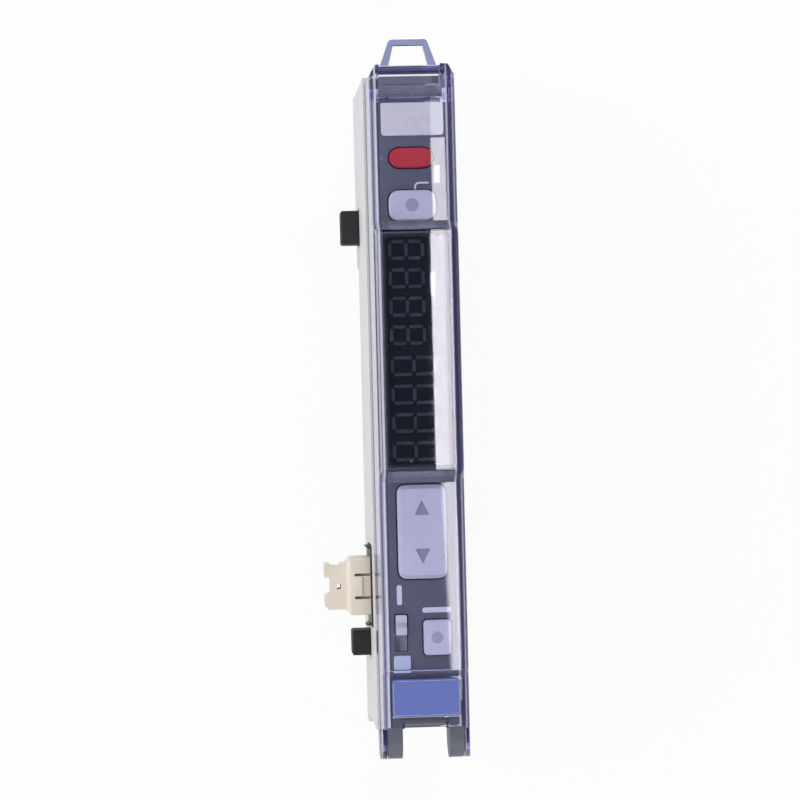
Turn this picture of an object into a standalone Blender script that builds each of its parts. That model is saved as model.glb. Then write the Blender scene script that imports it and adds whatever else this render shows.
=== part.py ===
# Slim fibre optic sensor amplifier for a 35 mm mounting rail.
# Metres. X runs across the slim body, Y along it, Z out of its front.
# The cable end is at +Y and the fibre end at -Y.
# The origin is the middle of the face that sits on the rail.

import math

import bmesh
import bpy
from mathutils import Vector

# Fits
FIT_GAP = 0.0002          # between pieces that sit on or in each other
SLIDE_GAP = 0.00015       # round a key or knob that moves in its hole
LABEL_GAP = 0.00005       # under a stuck-on plate
PAST = 0.0006             # how far a cutter runs past the face it leaves by
SINK = 0.0002             # how far a fused feature reaches into what carries it

# Mounting rail and the groove that takes it
RAIL_WIDTH = 0.0350
RAIL_PLAY = 0.0003
RAIL_LIP = 0.0010
LIP_PLAY = 0.0004
HOOK_REACH = 0.0009       # how far a hook goes behind the rail's lip
HOOK_NOSE = 0.0010
HOOK_RAMP = 0.0020
HOOK_WALL = 0.0012
PAD_SETBACK = 0.0004
POCKET_RELIEF = 0.0003
SPRING_SLOT = 0.0009      # height of the slot that frees the spring foot
SPRING_ARM_LENGTH = 0.0124

# Rear case
CASE_WIDTH = 0.0098
CASE_WALL = 0.0010
FOOT_TOE = 0.0010         # how far the spring foot reaches past the fibre end
FOOT_DEPTH = 0.0046
FOOT_SKIN = 0.0012
SEAM_Z = 0.0177
FLOOR = 0.0013
CABLE_WALL = 0.0012
FIBRE_WALL = 0.0011
CORNER_CUT_X = 0.00095    # cable end corners, at the seam
CORNER_CUT_Y = 0.00175
CORNER_FOOT_Y = 0.00015   # what is left of that cut at the back
BACK_CHAMFER = 0.0004
RIB_HEIGHT = 0.0017
RIB_THICKNESS = 0.0004
RIB_LENGTH = 0.0020
RIB_PLACES = (-0.0130, 0.0, 0.0130)

# Front case
PANEL_WIDTH = 0.0080
PANEL_RISE = 0.0042       # panel above the seam
PANEL_SKIN = 0.0010
PANEL_WALL = 0.0008
PANEL_SETBACK = 0.0030    # from the fibre end
SKIRT_DEPTH = 0.0023
SKIRT_SETBACK = 0.0045
PRONG_THICKNESS = 0.0015
LUG_REACH = 0.0003        # small lug inside each prong
LUG_SIDE = 0.0006
FRAME_WALL = 0.0003

# Display, seen through the front case's raised frame
DISPLAY_LOW_Y = -0.0056
DISPLAY_WIDTH = 0.0070
DISPLAY_RISE = 0.0021     # raised frame above the panel
WINDOW_THICKNESS = 0.0007
WINDOW_PROUD = 0.0002
WINDOW_LEDGE = 0.0003
SEGMENT_RISE = 0.00012
SEGMENT_WIDTH = 0.00036
SEGMENT_GAP = 0.00012
DIGITS_IN_ROW = 4
DIGIT_WIDTH = 0.0021
DIGIT_SPACE = 0.00089     # between neighbours
ROW_SPACE = 0.00115       # between the small and the tall digits
DIGIT_MARGIN = 0.00063    # from the outer digits to the display's ends
DIGIT_FOOT = 0.00014       # from the module's edge to the feet
TALL_DIGIT_HEAD = 0.00115 # from the tall digits to the module's far edge
SMALL_DIGIT_DROP = 0.0011 # how much shorter the small ones are

# Dust cover
COVER_SKIN = 0.0010
COVER_SIDE = 0.0007
COVER_DRAFT = 0.0005
COVER_INNER_DRAFT = 0.00015
COVER_LOW_CLEAR = 0.0010  # over the panel
COVER_HIGH_CLEAR = 0.0005 # over the display window
COVER_EDGE_ROUND = 0.0007
COVER_PAD_DROP = 0.0007
COVER_PAD_MARGIN = 0.00025
COVER_RAMP_CABLE = 0.00105
COVER_RAMP_FIBRE = 0.00125
COVER_RAMP_INSET = 0.00015
COVER_BAR_LENGTH = 0.00135 # past the type plate
CATCH_THICKNESS = 0.0005
CATCH_DEPTH = 0.0051
CATCH_WIDTH = 0.0056
SCOOP_LENGTH = 0.0035     # finger scoop ahead of the tab
SCOOP_STEP = 0.0019
SCOOP_DROP = 0.0016
SCOOP_FALL = 0.00025
SCOOP_FLARE = 0.086       # sideways, for each metre along
SCOOP_ROOT = 0.0005
TAB_X = -0.00025
TAB_REACH = 0.0028
TAB_TIP_WIDTH = 0.0043
TAB_BASE_WIDTH = 0.0060
TAB_BAR = 0.0006
TAB_ARM = 0.0009
TAB_THICKNESS = 0.0008
TAB_TIP_ROUND = 0.0005
TYPE_PLATE_WIDTH = 0.0072
TYPE_PLATE_LENGTH = 0.0039
TYPE_PLATE_THICKNESS = 0.0003
TYPE_PLATE_RECESS = 0.0002

# Cover hinge, at the fibre end
HINGE_REACH = 0.0004      # past the fibre end
HINGE_Z = 0.0194
ARM_RADIUS = 0.0023
BOSS_RADIUS = 0.0009
BOSS_CLEAR = 0.00015
SCALLOP_CLEAR = 0.0003

# Keys and the marks beside them
KEY_PROUD = 0.0006
KEY_EDGE = 0.00015
KEY_FLANGE = 0.0002
KEY_FLANGE_HEIGHT = 0.0006
KEY_TRAVEL = 0.00035
KEY_STEM_WIDTH = 0.0014
DIMPLE_DEPTH = 0.00015
KEY_STEM_CORNER = 0.00035
SET_KEY_X = -0.0002
SET_KEY_SIZE = (0.00495, 0.0032)
SET_KEY_CORNER = 0.0010
SET_DIMPLE_RADIUS = 0.00074
MODE_KEY_X = 0.00135
MODE_KEY_SIZE = (0.0029, 0.0037)
MODE_KEY_CORNER = 0.0004
MODE_DIMPLE_RADIUS = 0.00068
DIMPLE_WALL = 0.0001
ROCKER_X = 0.0
ROCKER_SIZE = (0.00515, 0.0099)
ROCKER_CORNER = 0.00085
ROCKER_EDGE = 0.0004
ROCKER_PROUD = 0.0007
ROCKER_FOOT_INSET = 0.00155
ROCKER_PIVOT_DROP = 0.0023
ARROW_INSET = 0.0016      # from the rocker's end to the arrow's tip
ARROW_LENGTH = 0.0016
ARROW_WIDTH = 0.0016
TRUNNION_RADIUS = 0.0005
TRUNNION_BITE = 0.0003
KNOB_X = -0.00243
KNOB_SIZE = (0.00116, 0.0021)
KNOB_TRAVEL = 0.00165
KNOB_PROUD = 0.0005
KNOB_GROOVE = 0.0004
KNOB_GROOVE_WIDTH = 0.0005
KNOB_STEM_INSET = 0.00023
LENS_X = -0.0002
LENS_SIZE = (0.00465, 0.0021)
LENS_PROUD = 0.00035
LENS_GUIDE_INSET = 0.0004
NAME_PLATE_X = 0.0
NAME_PLATE_SIZE = (0.0066, 0.0037)
MARK_PLATE_X = -0.0024
MARK_PLATE_SIZE = (0.0018, 0.0015)
PLATE_THICKNESS = 0.0002

# Gaps between neighbours, from the display out to both ends of the body
SET_KEY_GAP = 0.00145
LENS_GAP = 0.0024
NAME_PLATE_GAP = 0.0013
CABLE_END_GAP = 0.0030
ROCKER_GAP = 0.0019
MODE_KEY_GAP = 0.0044
KNOB_GAP = 0.0038
MARK_PLATE_GAP = 0.00055
TYPE_PLATE_GAP = 0.00095
FIBRE_END_GAP = 0.00215

# Boards and what is on them
BOARD_THICKNESS = 0.0008
DISPLAY_BOARD_DROP = 0.0007
DISPLAY_BOARD_GAP = 0.0005
MAIN_BOARD_X = -0.0019
MAIN_BOARD_FIBRE_GAP = 0.0100
MAIN_BOARD_CABLE_GAP = 0.0026
MAIN_BOARD_TOP_DROP = 0.0018
CONNECTOR_LENGTH = 0.0120
CONNECTOR_WIDTH = 0.0016
SWITCH_SIDE = 0.0028
SWITCH_HEIGHT = 0.0010
PLUNGER_RADIUS = 0.0006
PLUNGER_GAP = 0.0001
SLIDE_SWITCH_SIZE = (0.0015, 0.0047, 0.0016)
LED_SIZE = (0.0016, 0.0012, 0.0011)
CHIP_SIZE = (0.0009, 0.0060, 0.0060)
CHIP_YZ = (0.0070, 0.0072)
CAN_RADIUS = 0.0021
CAN_LENGTH = 0.0078
CAN_YZ = (0.0180, 0.0072)
TRANSISTOR_SIZE = (0.0020, 0.0056, 0.0050)
TRANSISTOR_YZ = (0.0275, 0.0110)
SHIELD_SIZE = (0.0024, 0.0080, 0.0080)
SHIELD_YZ = (-0.0080, 0.0072)
SHIELD_WALL = 0.0003

# Fibre end
PORT_RADIUS = 0.00115
PORT_LOW_Z = 0.0056
PORT_PITCH = 0.0052
BLOCK_WIDTH = 0.0054
BLOCK_LENGTH = 0.0074
BLOCK_MARGIN = 0.0024
DIODE_RADIUS = 0.0010
DIODE_LENGTH = 0.0026
DIODE_RIM = 0.0013
GRIPPER_THICKNESS = 0.0005
GRIPPER_INSET = 0.00054
GRIPPER_LENGTH = 0.0031
LEVER_PIVOT_DEPTH = 0.0013
LEVER_PIVOT_RISE = 0.0018 # over the optical block
LEVER_WIDTH = 0.0062
LEVER_THICKNESS = 0.0009
LEVER_BARREL = 0.0009
LEVER_TOE_Z = 0.0024
LEVER_SLOT_WIDTH = 0.0030
PIN_RADIUS = 0.00045
PIN_CLEAR = 0.0001
PIN_BITE = 0.0004

# Sides: pegs, plug and socket, and the cable's grommet
PEG_REACH = 0.00205
PEG_FLANGE = 0.0004
UPPER_PEG = (0.0210, 0.00165)
UPPER_PEG_SIZE = (0.0038, 0.0035)
LOWER_PEG = (-0.0253, 0.0054)
LOWER_PEG_SIZE = (0.0028, 0.0040)
PEG_CORNER = 0.0004
PLUG_Y = -0.01875
PLUG_Z = 0.00945
PLUG_BLOCK = (0.0063, 0.0045)
PLUG_BLOCK_REACH = 0.00275
PLUG_BLOCK_EDGE = 0.00045
PLUG_TONGUE = (0.00505, 0.0031)
PLUG_TONGUE_REACH = 0.00512
PLUG_STEP = 0.0003        # low step along the tongue's upper edge
PLUG_STEP_LENGTH = 0.0011
PLUG_CORNER = 0.0004
PLUG_BITE_LENGTH = 0.0020
PLUG_BITE_DEPTH = 0.0006
PLUG_WINDOW = (0.00045, 0.0006)
PLUG_WINDOW_INSET = 0.0015
PLUG_SLOT = 0.0003
PLUG_SLOT_DEPTH = 0.0012
PLUG_SLOT_INSET = 0.0009
PLUG_SLOT_SPACING = 0.0025
PLUG_LATCH_RISE = 0.0002
PLUG_LATCH_LENGTH = 0.0008
SURROUND_SIZE = (0.0088, 0.0075)
SURROUND_PROUD = 0.00015
SURROUND_HOOK = 0.0005
PIN_COUNT = 4
PIN_PITCH = 0.0011
CONTACT_RADIUS = 0.0002
SOCKET_WALL = 0.0008
GROMMET_Z = 0.0045
GROMMET_BORE = 0.0018
GROMMET_NECK = 0.0022
GROMMET_FLANGE = 0.0029
GROMMET_RIM = 0.0007
GROMMET_BEVEL = 0.0003

# Worked out from the sizes above
DISPLAY_LENGTH = (2 * DIGITS_IN_ROW * DIGIT_WIDTH + 2 * (DIGITS_IN_ROW - 1) * DIGIT_SPACE
                  + ROW_SPACE + 2 * DIGIT_MARGIN)
DISPLAY_HIGH_Y = DISPLAY_LOW_Y + DISPLAY_LENGTH
DISPLAY_MID_Y = (DISPLAY_LOW_Y + DISPLAY_HIGH_Y) / 2
MODULE_INSET = WINDOW_LEDGE + FIT_GAP / 2
TALL_DIGIT_HEIGHT = DISPLAY_WIDTH - 2 * MODULE_INSET - DIGIT_FOOT - TALL_DIGIT_HEAD
SET_KEY = (SET_KEY_X, DISPLAY_HIGH_Y + SET_KEY_GAP + SET_KEY_SIZE[1] / 2)
LENS = (LENS_X, SET_KEY[1] + SET_KEY_SIZE[1] / 2 + LENS_GAP + LENS_SIZE[1] / 2)
NAME_PLATE = (NAME_PLATE_X, LENS[1] + LENS_SIZE[1] / 2 + NAME_PLATE_GAP + NAME_PLATE_SIZE[1] / 2)
CABLE_END_Y = NAME_PLATE[1] + NAME_PLATE_SIZE[1] / 2 + CABLE_END_GAP
ROCKER = (ROCKER_X, DISPLAY_LOW_Y - ROCKER_GAP - ROCKER_SIZE[1] / 2)
ROCKER_LOW_Y = ROCKER[1] - ROCKER_SIZE[1] / 2
ROCKER_FOOT_Y = ROCKER_SIZE[1] / 2 - ROCKER_FOOT_INSET
MODE_KEY = (MODE_KEY_X, ROCKER_LOW_Y - MODE_KEY_GAP - MODE_KEY_SIZE[1] / 2)
KNOB = (KNOB_X, ROCKER_LOW_Y - KNOB_GAP - KNOB_SIZE[1] / 2)
KNOB_LOW_Y = KNOB[1] - KNOB_SIZE[1] / 2 - KNOB_TRAVEL
MARK_PLATE = (MARK_PLATE_X, KNOB_LOW_Y - MARK_PLATE_GAP - MARK_PLATE_SIZE[1] / 2)
TYPE_PLATE_HIGH_Y = MARK_PLATE[1] - MARK_PLATE_SIZE[1] / 2 - TYPE_PLATE_GAP
TYPE_PLATE_LOW_Y = TYPE_PLATE_HIGH_Y - TYPE_PLATE_LENGTH
TYPE_PLATE_Y = (TYPE_PLATE_HIGH_Y + TYPE_PLATE_LOW_Y) / 2
FIBRE_END_Y = TYPE_PLATE_LOW_Y - FIBRE_END_GAP
PANEL_FIBRE_Y = FIBRE_END_Y + PANEL_SETBACK
SKIRT_FIBRE_Y = FIBRE_END_Y + SKIRT_SETBACK
HINGE_Y = FIBRE_END_Y - HINGE_REACH
COVER_BAR_END_Y = TYPE_PLATE_LOW_Y - COVER_BAR_LENGTH
COVER_PAD_Y = TYPE_PLATE_HIGH_Y + COVER_PAD_MARGIN
LEVER_PIVOT_Y = FIBRE_END_Y + LEVER_PIVOT_DEPTH
HALF_CASE = CASE_WIDTH / 2
CAVITY_HALF = HALF_CASE - CASE_WALL
HALF_PANEL = PANEL_WIDTH / 2
PANEL_INNER = HALF_PANEL - PANEL_WALL
PANEL_Z = SEAM_Z + PANEL_RISE
SKIN_UNDER_Z = PANEL_Z - PANEL_SKIN
FRAME_Z = PANEL_Z + DISPLAY_RISE
WINDOW_Z = FRAME_Z + WINDOW_PROUD
LOW_INNER_Z = PANEL_Z + COVER_LOW_CLEAR
LOW_OUTER_Z = LOW_INNER_Z + COVER_SKIN
HIGH_INNER_Z = WINDOW_Z + COVER_HIGH_CLEAR
HIGH_OUTER_Z = HIGH_INNER_Z + COVER_SKIN
PAD_OUTER_Z = LOW_OUTER_Z - COVER_PAD_DROP
PAD_INNER_Z = LOW_INNER_Z - COVER_PAD_DROP
COVER_HALF = HALF_CASE - LABEL_GAP
COVER_INNER_HALF = COVER_HALF - COVER_SIDE
COVER_END_Y = CABLE_END_Y + FIT_GAP + CATCH_THICKNESS
BOARD_TOP_Z = SEAM_Z - DISPLAY_BOARD_DROP
BOARD_UNDER_Z = BOARD_TOP_Z - BOARD_THICKNESS
MAIN_BOARD_FACE = MAIN_BOARD_X + BOARD_THICKNESS / 2
MAIN_BOARD_TOP = BOARD_UNDER_Z - MAIN_BOARD_TOP_DROP
SWITCH_BASE_Z = BOARD_TOP_Z + SLIDE_GAP
SWITCH_TOP_Z = SWITCH_BASE_Z + SWITCH_HEIGHT
PLUNGER_TOP_Z = SWITCH_TOP_Z + 2 * KEY_TRAVEL
BLOCK_FACE_Y = FIBRE_END_Y + FIBRE_WALL
BLOCK_TOP_Z = PORT_LOW_Z + PORT_PITCH + BLOCK_MARGIN
LEVER_PIVOT_Z = BLOCK_TOP_Z + LEVER_PIVOT_RISE
PANEL_CABLE_Y = CABLE_END_Y - FIT_GAP
SLOPE_Y = COVER_END_Y - SCOOP_LENGTH
TAB_TOP_Z = LOW_OUTER_Z - SCOOP_DROP - SCOOP_FALL - LABEL_GAP


# Colours, roughness, metallic value and alpha
FINISHES = {
    "white_moulding": ((0.62, 0.62, 0.64), 0.55, 0.0, 1.0),
    "grey_moulding": ((0.12, 0.12, 0.14), 0.5, 0.0, 1.0),
    "tinted_clear": ((0.40, 0.38, 0.62), 0.12, 0.0, 0.45),
    "smoked_clear": ((0.02, 0.03, 0.05), 0.1, 0.0, 0.85),
    "display_face": ((0.03, 0.03, 0.05), 0.6, 0.0, 1.0),
    "red_lens": ((0.50, 0.03, 0.08), 0.3, 0.0, 1.0),
    "key_grey": ((0.50, 0.50, 0.56), 0.5, 0.0, 1.0),
    "blue_plate": ((0.10, 0.14, 0.48), 0.4, 0.0, 1.0),
    "pale_plate": ((0.45, 0.44, 0.52), 0.4, 0.0, 1.0),
    "ivory_moulding": ((0.72, 0.66, 0.55), 0.5, 0.0, 1.0),
    "black_moulding": ((0.02, 0.02, 0.022), 0.5, 0.0, 1.0),
    "black_rubber": ((0.015, 0.015, 0.016), 0.8, 0.0, 1.0),
    "board_green": ((0.02, 0.16, 0.07), 0.5, 0.0, 1.0),
    "bright_steel": ((0.60, 0.60, 0.62), 0.3, 1.0, 1.0),
    "brass_pin": ((0.75, 0.58, 0.25), 0.3, 1.0, 1.0),
    "clear_diode": ((0.70, 0.72, 0.75), 0.15, 0.0, 1.0),
}


# Shape helpers

def clear_scene():
    for obj in list(bpy.data.objects):
        bpy.data.objects.remove(obj, do_unlink=True)


def make_material(name, finish):
    color, roughness, metallic, alpha = FINISHES[finish]
    material = bpy.data.materials.new(name)
    material.use_nodes = True
    shader = material.node_tree.nodes["Principled BSDF"]
    shader.inputs["Base Color"].default_value = (*color, 1.0)
    shader.inputs["Roughness"].default_value = roughness
    shader.inputs["Metallic"].default_value = metallic
    shader.inputs["Alpha"].default_value = alpha
    material.diffuse_color = (*color, alpha)
    return material


def new_object(name, bm, finish=None, origin=(0.0, 0.0, 0.0)):
    bmesh.ops.remove_doubles(bm, verts=bm.verts, dist=1e-7)
    bmesh.ops.translate(bm, verts=bm.verts, vec=-Vector(origin))
    bmesh.ops.recalc_face_normals(bm, faces=bm.faces)
    mesh = bpy.data.meshes.new(name)
    bm.to_mesh(mesh)
    bm.free()
    mesh.shade_smooth()
    mesh.set_sharp_from_angle(angle=math.radians(32))
    obj = bpy.data.objects.new(name, mesh)
    obj.location = origin
    bpy.context.collection.objects.link(obj)
    if finish:
        mesh.materials.append(make_material(name, finish))
    return obj


def boolean_with(target, name, bm, operation):
    # The tool stays in the scene as a hidden wire shape, named after its target.
    tool = new_object(target.name + "_" + name, bm)
    tool.display_type = "WIRE"
    tool.hide_render = True
    modifier = target.modifiers.new(name, "BOOLEAN")
    modifier.operation = operation
    modifier.solver = "EXACT"
    modifier.object = tool


def cut(target, name, bm):
    boolean_with(target, name, bm, "DIFFERENCE")


def fuse(target, name, bm):
    boolean_with(target, name, bm, "UNION")


def placed(point, axis, level):
    # A 2D outline point set on a plane square to the axis.
    first, second = point
    if axis == "X":
        return Vector((level, first, second))
    if axis == "Y":
        return Vector((first, level, second))
    return Vector((first, second, level))


def add_loft(bm, rings, closed=True):
    # Joins rings with equal numbers of points and caps both ends.
    loops = [[bm.verts.new(point) for point in ring] for ring in rings]
    for lower, upper in zip(loops, loops[1:]):
        count = len(lower)
        for i in range(count):
            after = (i + 1) % count
            bm.faces.new((lower[i], lower[after], upper[after], upper[i]))
    if closed:
        bm.faces.new(loops[0])
        bm.faces.new(loops[-1])


def add_prism(bm, outline, axis, low, high):
    rings = [[placed(point, axis, level) for point in outline] for level in (low, high)]
    add_loft(bm, rings)


def prism(outline, axis, low, high):
    bm = bmesh.new()
    add_prism(bm, outline, axis, low, high)
    return bm


def box(low, high):
    outline = [(low[0], low[1]), (high[0], low[1]), (high[0], high[1]), (low[0], high[1])]
    return prism(outline, "Z", low[2], high[2])


def add_box(bm, low, high):
    outline = [(low[0], low[1]), (high[0], low[1]), (high[0], high[1]), (low[0], high[1])]
    add_prism(bm, outline, "Z", low[2], high[2])


def arc(center, radius, start, end, steps):
    points = []
    for i in range(steps + 1):
        angle = math.radians(start + (end - start) * i / steps)
        points.append((center[0] + radius * math.cos(angle), center[1] + radius * math.sin(angle)))
    return points


def rounded(center, size, radius, steps=4):
    # Rectangle with round corners, four times steps + 1 points.
    half_a = size[0] / 2 - radius
    half_b = size[1] / 2 - radius
    corners = ((1, 1, 0), (-1, 1, 90), (-1, -1, 180), (1, -1, 270))
    points = []
    for side_a, side_b, start in corners:
        middle = (center[0] + side_a * half_a, center[1] + side_b * half_b)
        points += arc(middle, radius, start, start + 90, steps)
    return points


def circle(center, radius, count):
    return arc(center, radius, 0, 360 - 360 / count, count - 1)


def grown(size, by):
    return (size[0] + 2 * by, size[1] + 2 * by)


def lofted(levels, axis="Z"):
    # Each level is an outline and its height along the axis.
    bm = bmesh.new()
    add_loft(bm, [[placed(point, axis, level) for point in outline] for outline, level in levels])
    return bm


def turned(profile, center, axis, count):
    # A ring or disc turned about the axis: profile holds (radius, place along the axis).
    bm = bmesh.new()
    rings = []
    for radius, level in profile:
        rings.append([placed(point, axis, level) for point in circle(center, radius, count)])
    add_loft(bm, rings + [rings[0]] if len(profile) > 2 else rings, closed=len(profile) <= 2)
    return bm


def bevel_where(bm, test, width, segments):
    bmesh.ops.recalc_face_normals(bm, faces=bm.faces)
    bm.normal_update()
    edges = [edge for edge in bm.edges if test(edge.verts[0].co, edge.verts[1].co)]
    bmesh.ops.bevel(bm, geom=edges, offset=width, segments=segments, profile=0.5,
                    affect="EDGES", clamp_overlap=True)


def drafted(outline, half_low, half_high, z_low, z_high):
    # Side view outline pulled across X, slimmer towards the front.
    bm = prism(outline, "X", -1.0, 1.0)
    for vert in bm.verts:
        share = max(0.0, (vert.co.z - z_low) / (z_high - z_low))
        vert.co.x *= half_low + (half_high - half_low) * share
    return bm


def trim(bm, point, normal):
    # Takes off what lies beyond a plane and closes the cut.
    geom = list(bm.verts) + list(bm.edges) + list(bm.faces)
    result = bmesh.ops.bisect_plane(bm, geom=geom, dist=1e-7, plane_co=point, plane_no=normal,
                                    clear_outer=True)
    edges = [item for item in result["geom_cut"] if isinstance(item, bmesh.types.BMEdge)]
    bmesh.ops.edgenet_fill(bm, edges=edges)


def trim_corners(bm, half, end_y, inset):
    # Upright slanting cuts over both corners of the cable end.
    for side in (-1, 1):
        normal = Vector((side * CORNER_CUT_Y, CORNER_CUT_X, 0.0)).normalized()
        point = Vector((side * half, end_y - CORNER_CUT_Y, 0.0)) - normal * inset
        trim(bm, point, normal)


# Rear case

def case_outline():
    half_groove = (RAIL_WIDTH + RAIL_PLAY) / 2
    tip = RAIL_WIDTH / 2 - HOOK_REACH
    pad = tip - PAD_SETBACK
    lip_floor = -(RAIL_LIP + LIP_PLAY)
    nose = lip_floor - HOOK_NOSE
    slot_end = -half_groove - SPRING_ARM_LENGTH
    toe = FIBRE_END_Y - FOOT_TOE
    fixed_hook = [(pad, 0.0), (pad, POCKET_RELIEF), (half_groove, POCKET_RELIEF),
                  (half_groove, lip_floor), (tip, lip_floor), (tip, nose),
                  (tip + HOOK_RAMP, -FOOT_DEPTH)]
    body = [(CABLE_END_Y, -FOOT_DEPTH), (CABLE_END_Y, SEAM_Z), (FIBRE_END_Y, SEAM_Z),
            (FIBRE_END_Y, 0.0),
            (toe, -FOOT_TOE), (toe, -FOOT_DEPTH)]
    spring_hook = [(-tip - HOOK_RAMP, -FOOT_DEPTH), (-tip, nose), (-tip, lip_floor),
                   (slot_end, lip_floor), (slot_end, lip_floor + SPRING_SLOT),
                   (-half_groove, lip_floor + SPRING_SLOT), (-half_groove, POCKET_RELIEF),
                   (-pad, POCKET_RELIEF), (-pad, 0.0)]
    return fixed_hook + body + spring_hook


def cavity_outline():
    step_y = (RAIL_WIDTH + RAIL_PLAY) / 2 + HOOK_WALL
    foot_floor = FOOT_SKIN - FOOT_DEPTH
    end_y = CABLE_END_Y - CABLE_WALL
    top = SEAM_Z + PAST
    return [(BLOCK_FACE_Y, FLOOR), (step_y, FLOOR), (step_y, foot_floor),
            (end_y, foot_floor), (end_y, top), (BLOCK_FACE_Y, top)]


def board_ribs():
    bm = bmesh.new()
    offset = BOARD_THICKNESS / 2 + FIT_GAP
    for y in RIB_PLACES:
        for side in (-1, 1):
            near = MAIN_BOARD_X + side * offset
            far = near + side * RIB_THICKNESS
            add_box(bm, (min(near, far), y - RIB_LENGTH / 2, FLOOR - SINK),
                    (max(near, far), y + RIB_LENGTH / 2, FLOOR + RIB_HEIGHT))
    return bm


def wall_hole(side, place, size, corner):
    # A hole through one side wall, with its outline in Y and Z.
    outline = rounded(place, grown(size, SLIDE_GAP), corner)
    inner = CAVITY_HALF - PAST
    outer = HALF_CASE + PAST
    return prism(outline, "X", min(side * inner, side * outer), max(side * inner, side * outer))


def make_rear_case():
    bm = prism(case_outline(), "X", -HALF_CASE, HALF_CASE)
    for side in (-1, 1):
        near = Vector((side * HALF_CASE, CABLE_END_Y - CORNER_CUT_Y, SEAM_Z))
        far = Vector((side * (HALF_CASE - CORNER_CUT_X), CABLE_END_Y, SEAM_Z))
        foot = Vector((side * HALF_CASE, CABLE_END_Y - CORNER_FOOT_Y, -FOOT_DEPTH))
        normal = (far - near).cross(foot - near)
        trim(bm, near, normal * math.copysign(1.0, normal.x * side))

    def back_edge(a, b):
        level = abs(a.z + FOOT_DEPTH) < 1e-6 and abs(b.z + FOOT_DEPTH) < 1e-6
        return level and abs(a.x - b.x) < 1e-6

    bevel_where(bm, back_edge, BACK_CHAMFER, 2)
    case = new_object("rear_case", bm, "white_moulding")
    cut(case, "cavity", prism(cavity_outline(), "X", -CAVITY_HALF, CAVITY_HALF))
    window_half = LEVER_WIDTH / 2 + FIT_GAP
    cut(case, "lever_window", box((-window_half, FIBRE_END_Y - PAST, LEVER_TOE_Z - FIT_GAP),
                                  (window_half, BLOCK_FACE_Y + PAST, SEAM_Z + PAST)))
    scallop = circle((HINGE_Y, HINGE_Z), ARM_RADIUS + SCALLOP_CLEAR, 32)
    cut(case, "scallop", prism(scallop, "X", -HALF_CASE - PAST, HALF_CASE + PAST))
    pin_hole = circle((LEVER_PIVOT_Y, LEVER_PIVOT_Z), PIN_RADIUS + PIN_CLEAR, 16)
    reach = CAVITY_HALF + PIN_BITE + PIN_CLEAR
    cut(case, "pin_holes", prism(pin_hole, "X", -reach, reach))
    cable_hole = circle((0.0, GROMMET_Z), GROMMET_NECK + PIN_CLEAR, 24)
    cut(case, "cable_hole", prism(cable_hole, "Y", CABLE_END_Y - CABLE_WALL - PAST,
                                  CABLE_END_Y + PAST))
    for side, name in ((-1, "left"), (1, "right")):
        cut(case, "upper_peg_" + name, wall_hole(side, UPPER_PEG, UPPER_PEG_SIZE, PEG_CORNER))
        cut(case, "lower_peg_" + name, wall_hole(side, LOWER_PEG, LOWER_PEG_SIZE, PEG_CORNER))
    cut(case, "surround_hole", wall_hole(-1, (PLUG_Y, PLUG_Z), SURROUND_SIZE, PEG_CORNER))
    cut(case, "socket_hole", wall_hole(1, (PLUG_Y, PLUG_Z), PLUG_BLOCK, PEG_CORNER))
    fuse(case, "ribs", board_ribs())
    return case


# Front case

def prong_outline():
    root = PANEL_FIBRE_Y + PAST
    lift = SEAM_Z + FIT_GAP
    drop = math.degrees(math.asin((HINGE_Z - lift) / ARM_RADIUS))
    round_end = arc((HINGE_Y, HINGE_Z), ARM_RADIUS, 90, 360 - drop, 18)
    return [(root, HINGE_Z + ARM_RADIUS)] + round_end + [(root, lift)]


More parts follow.
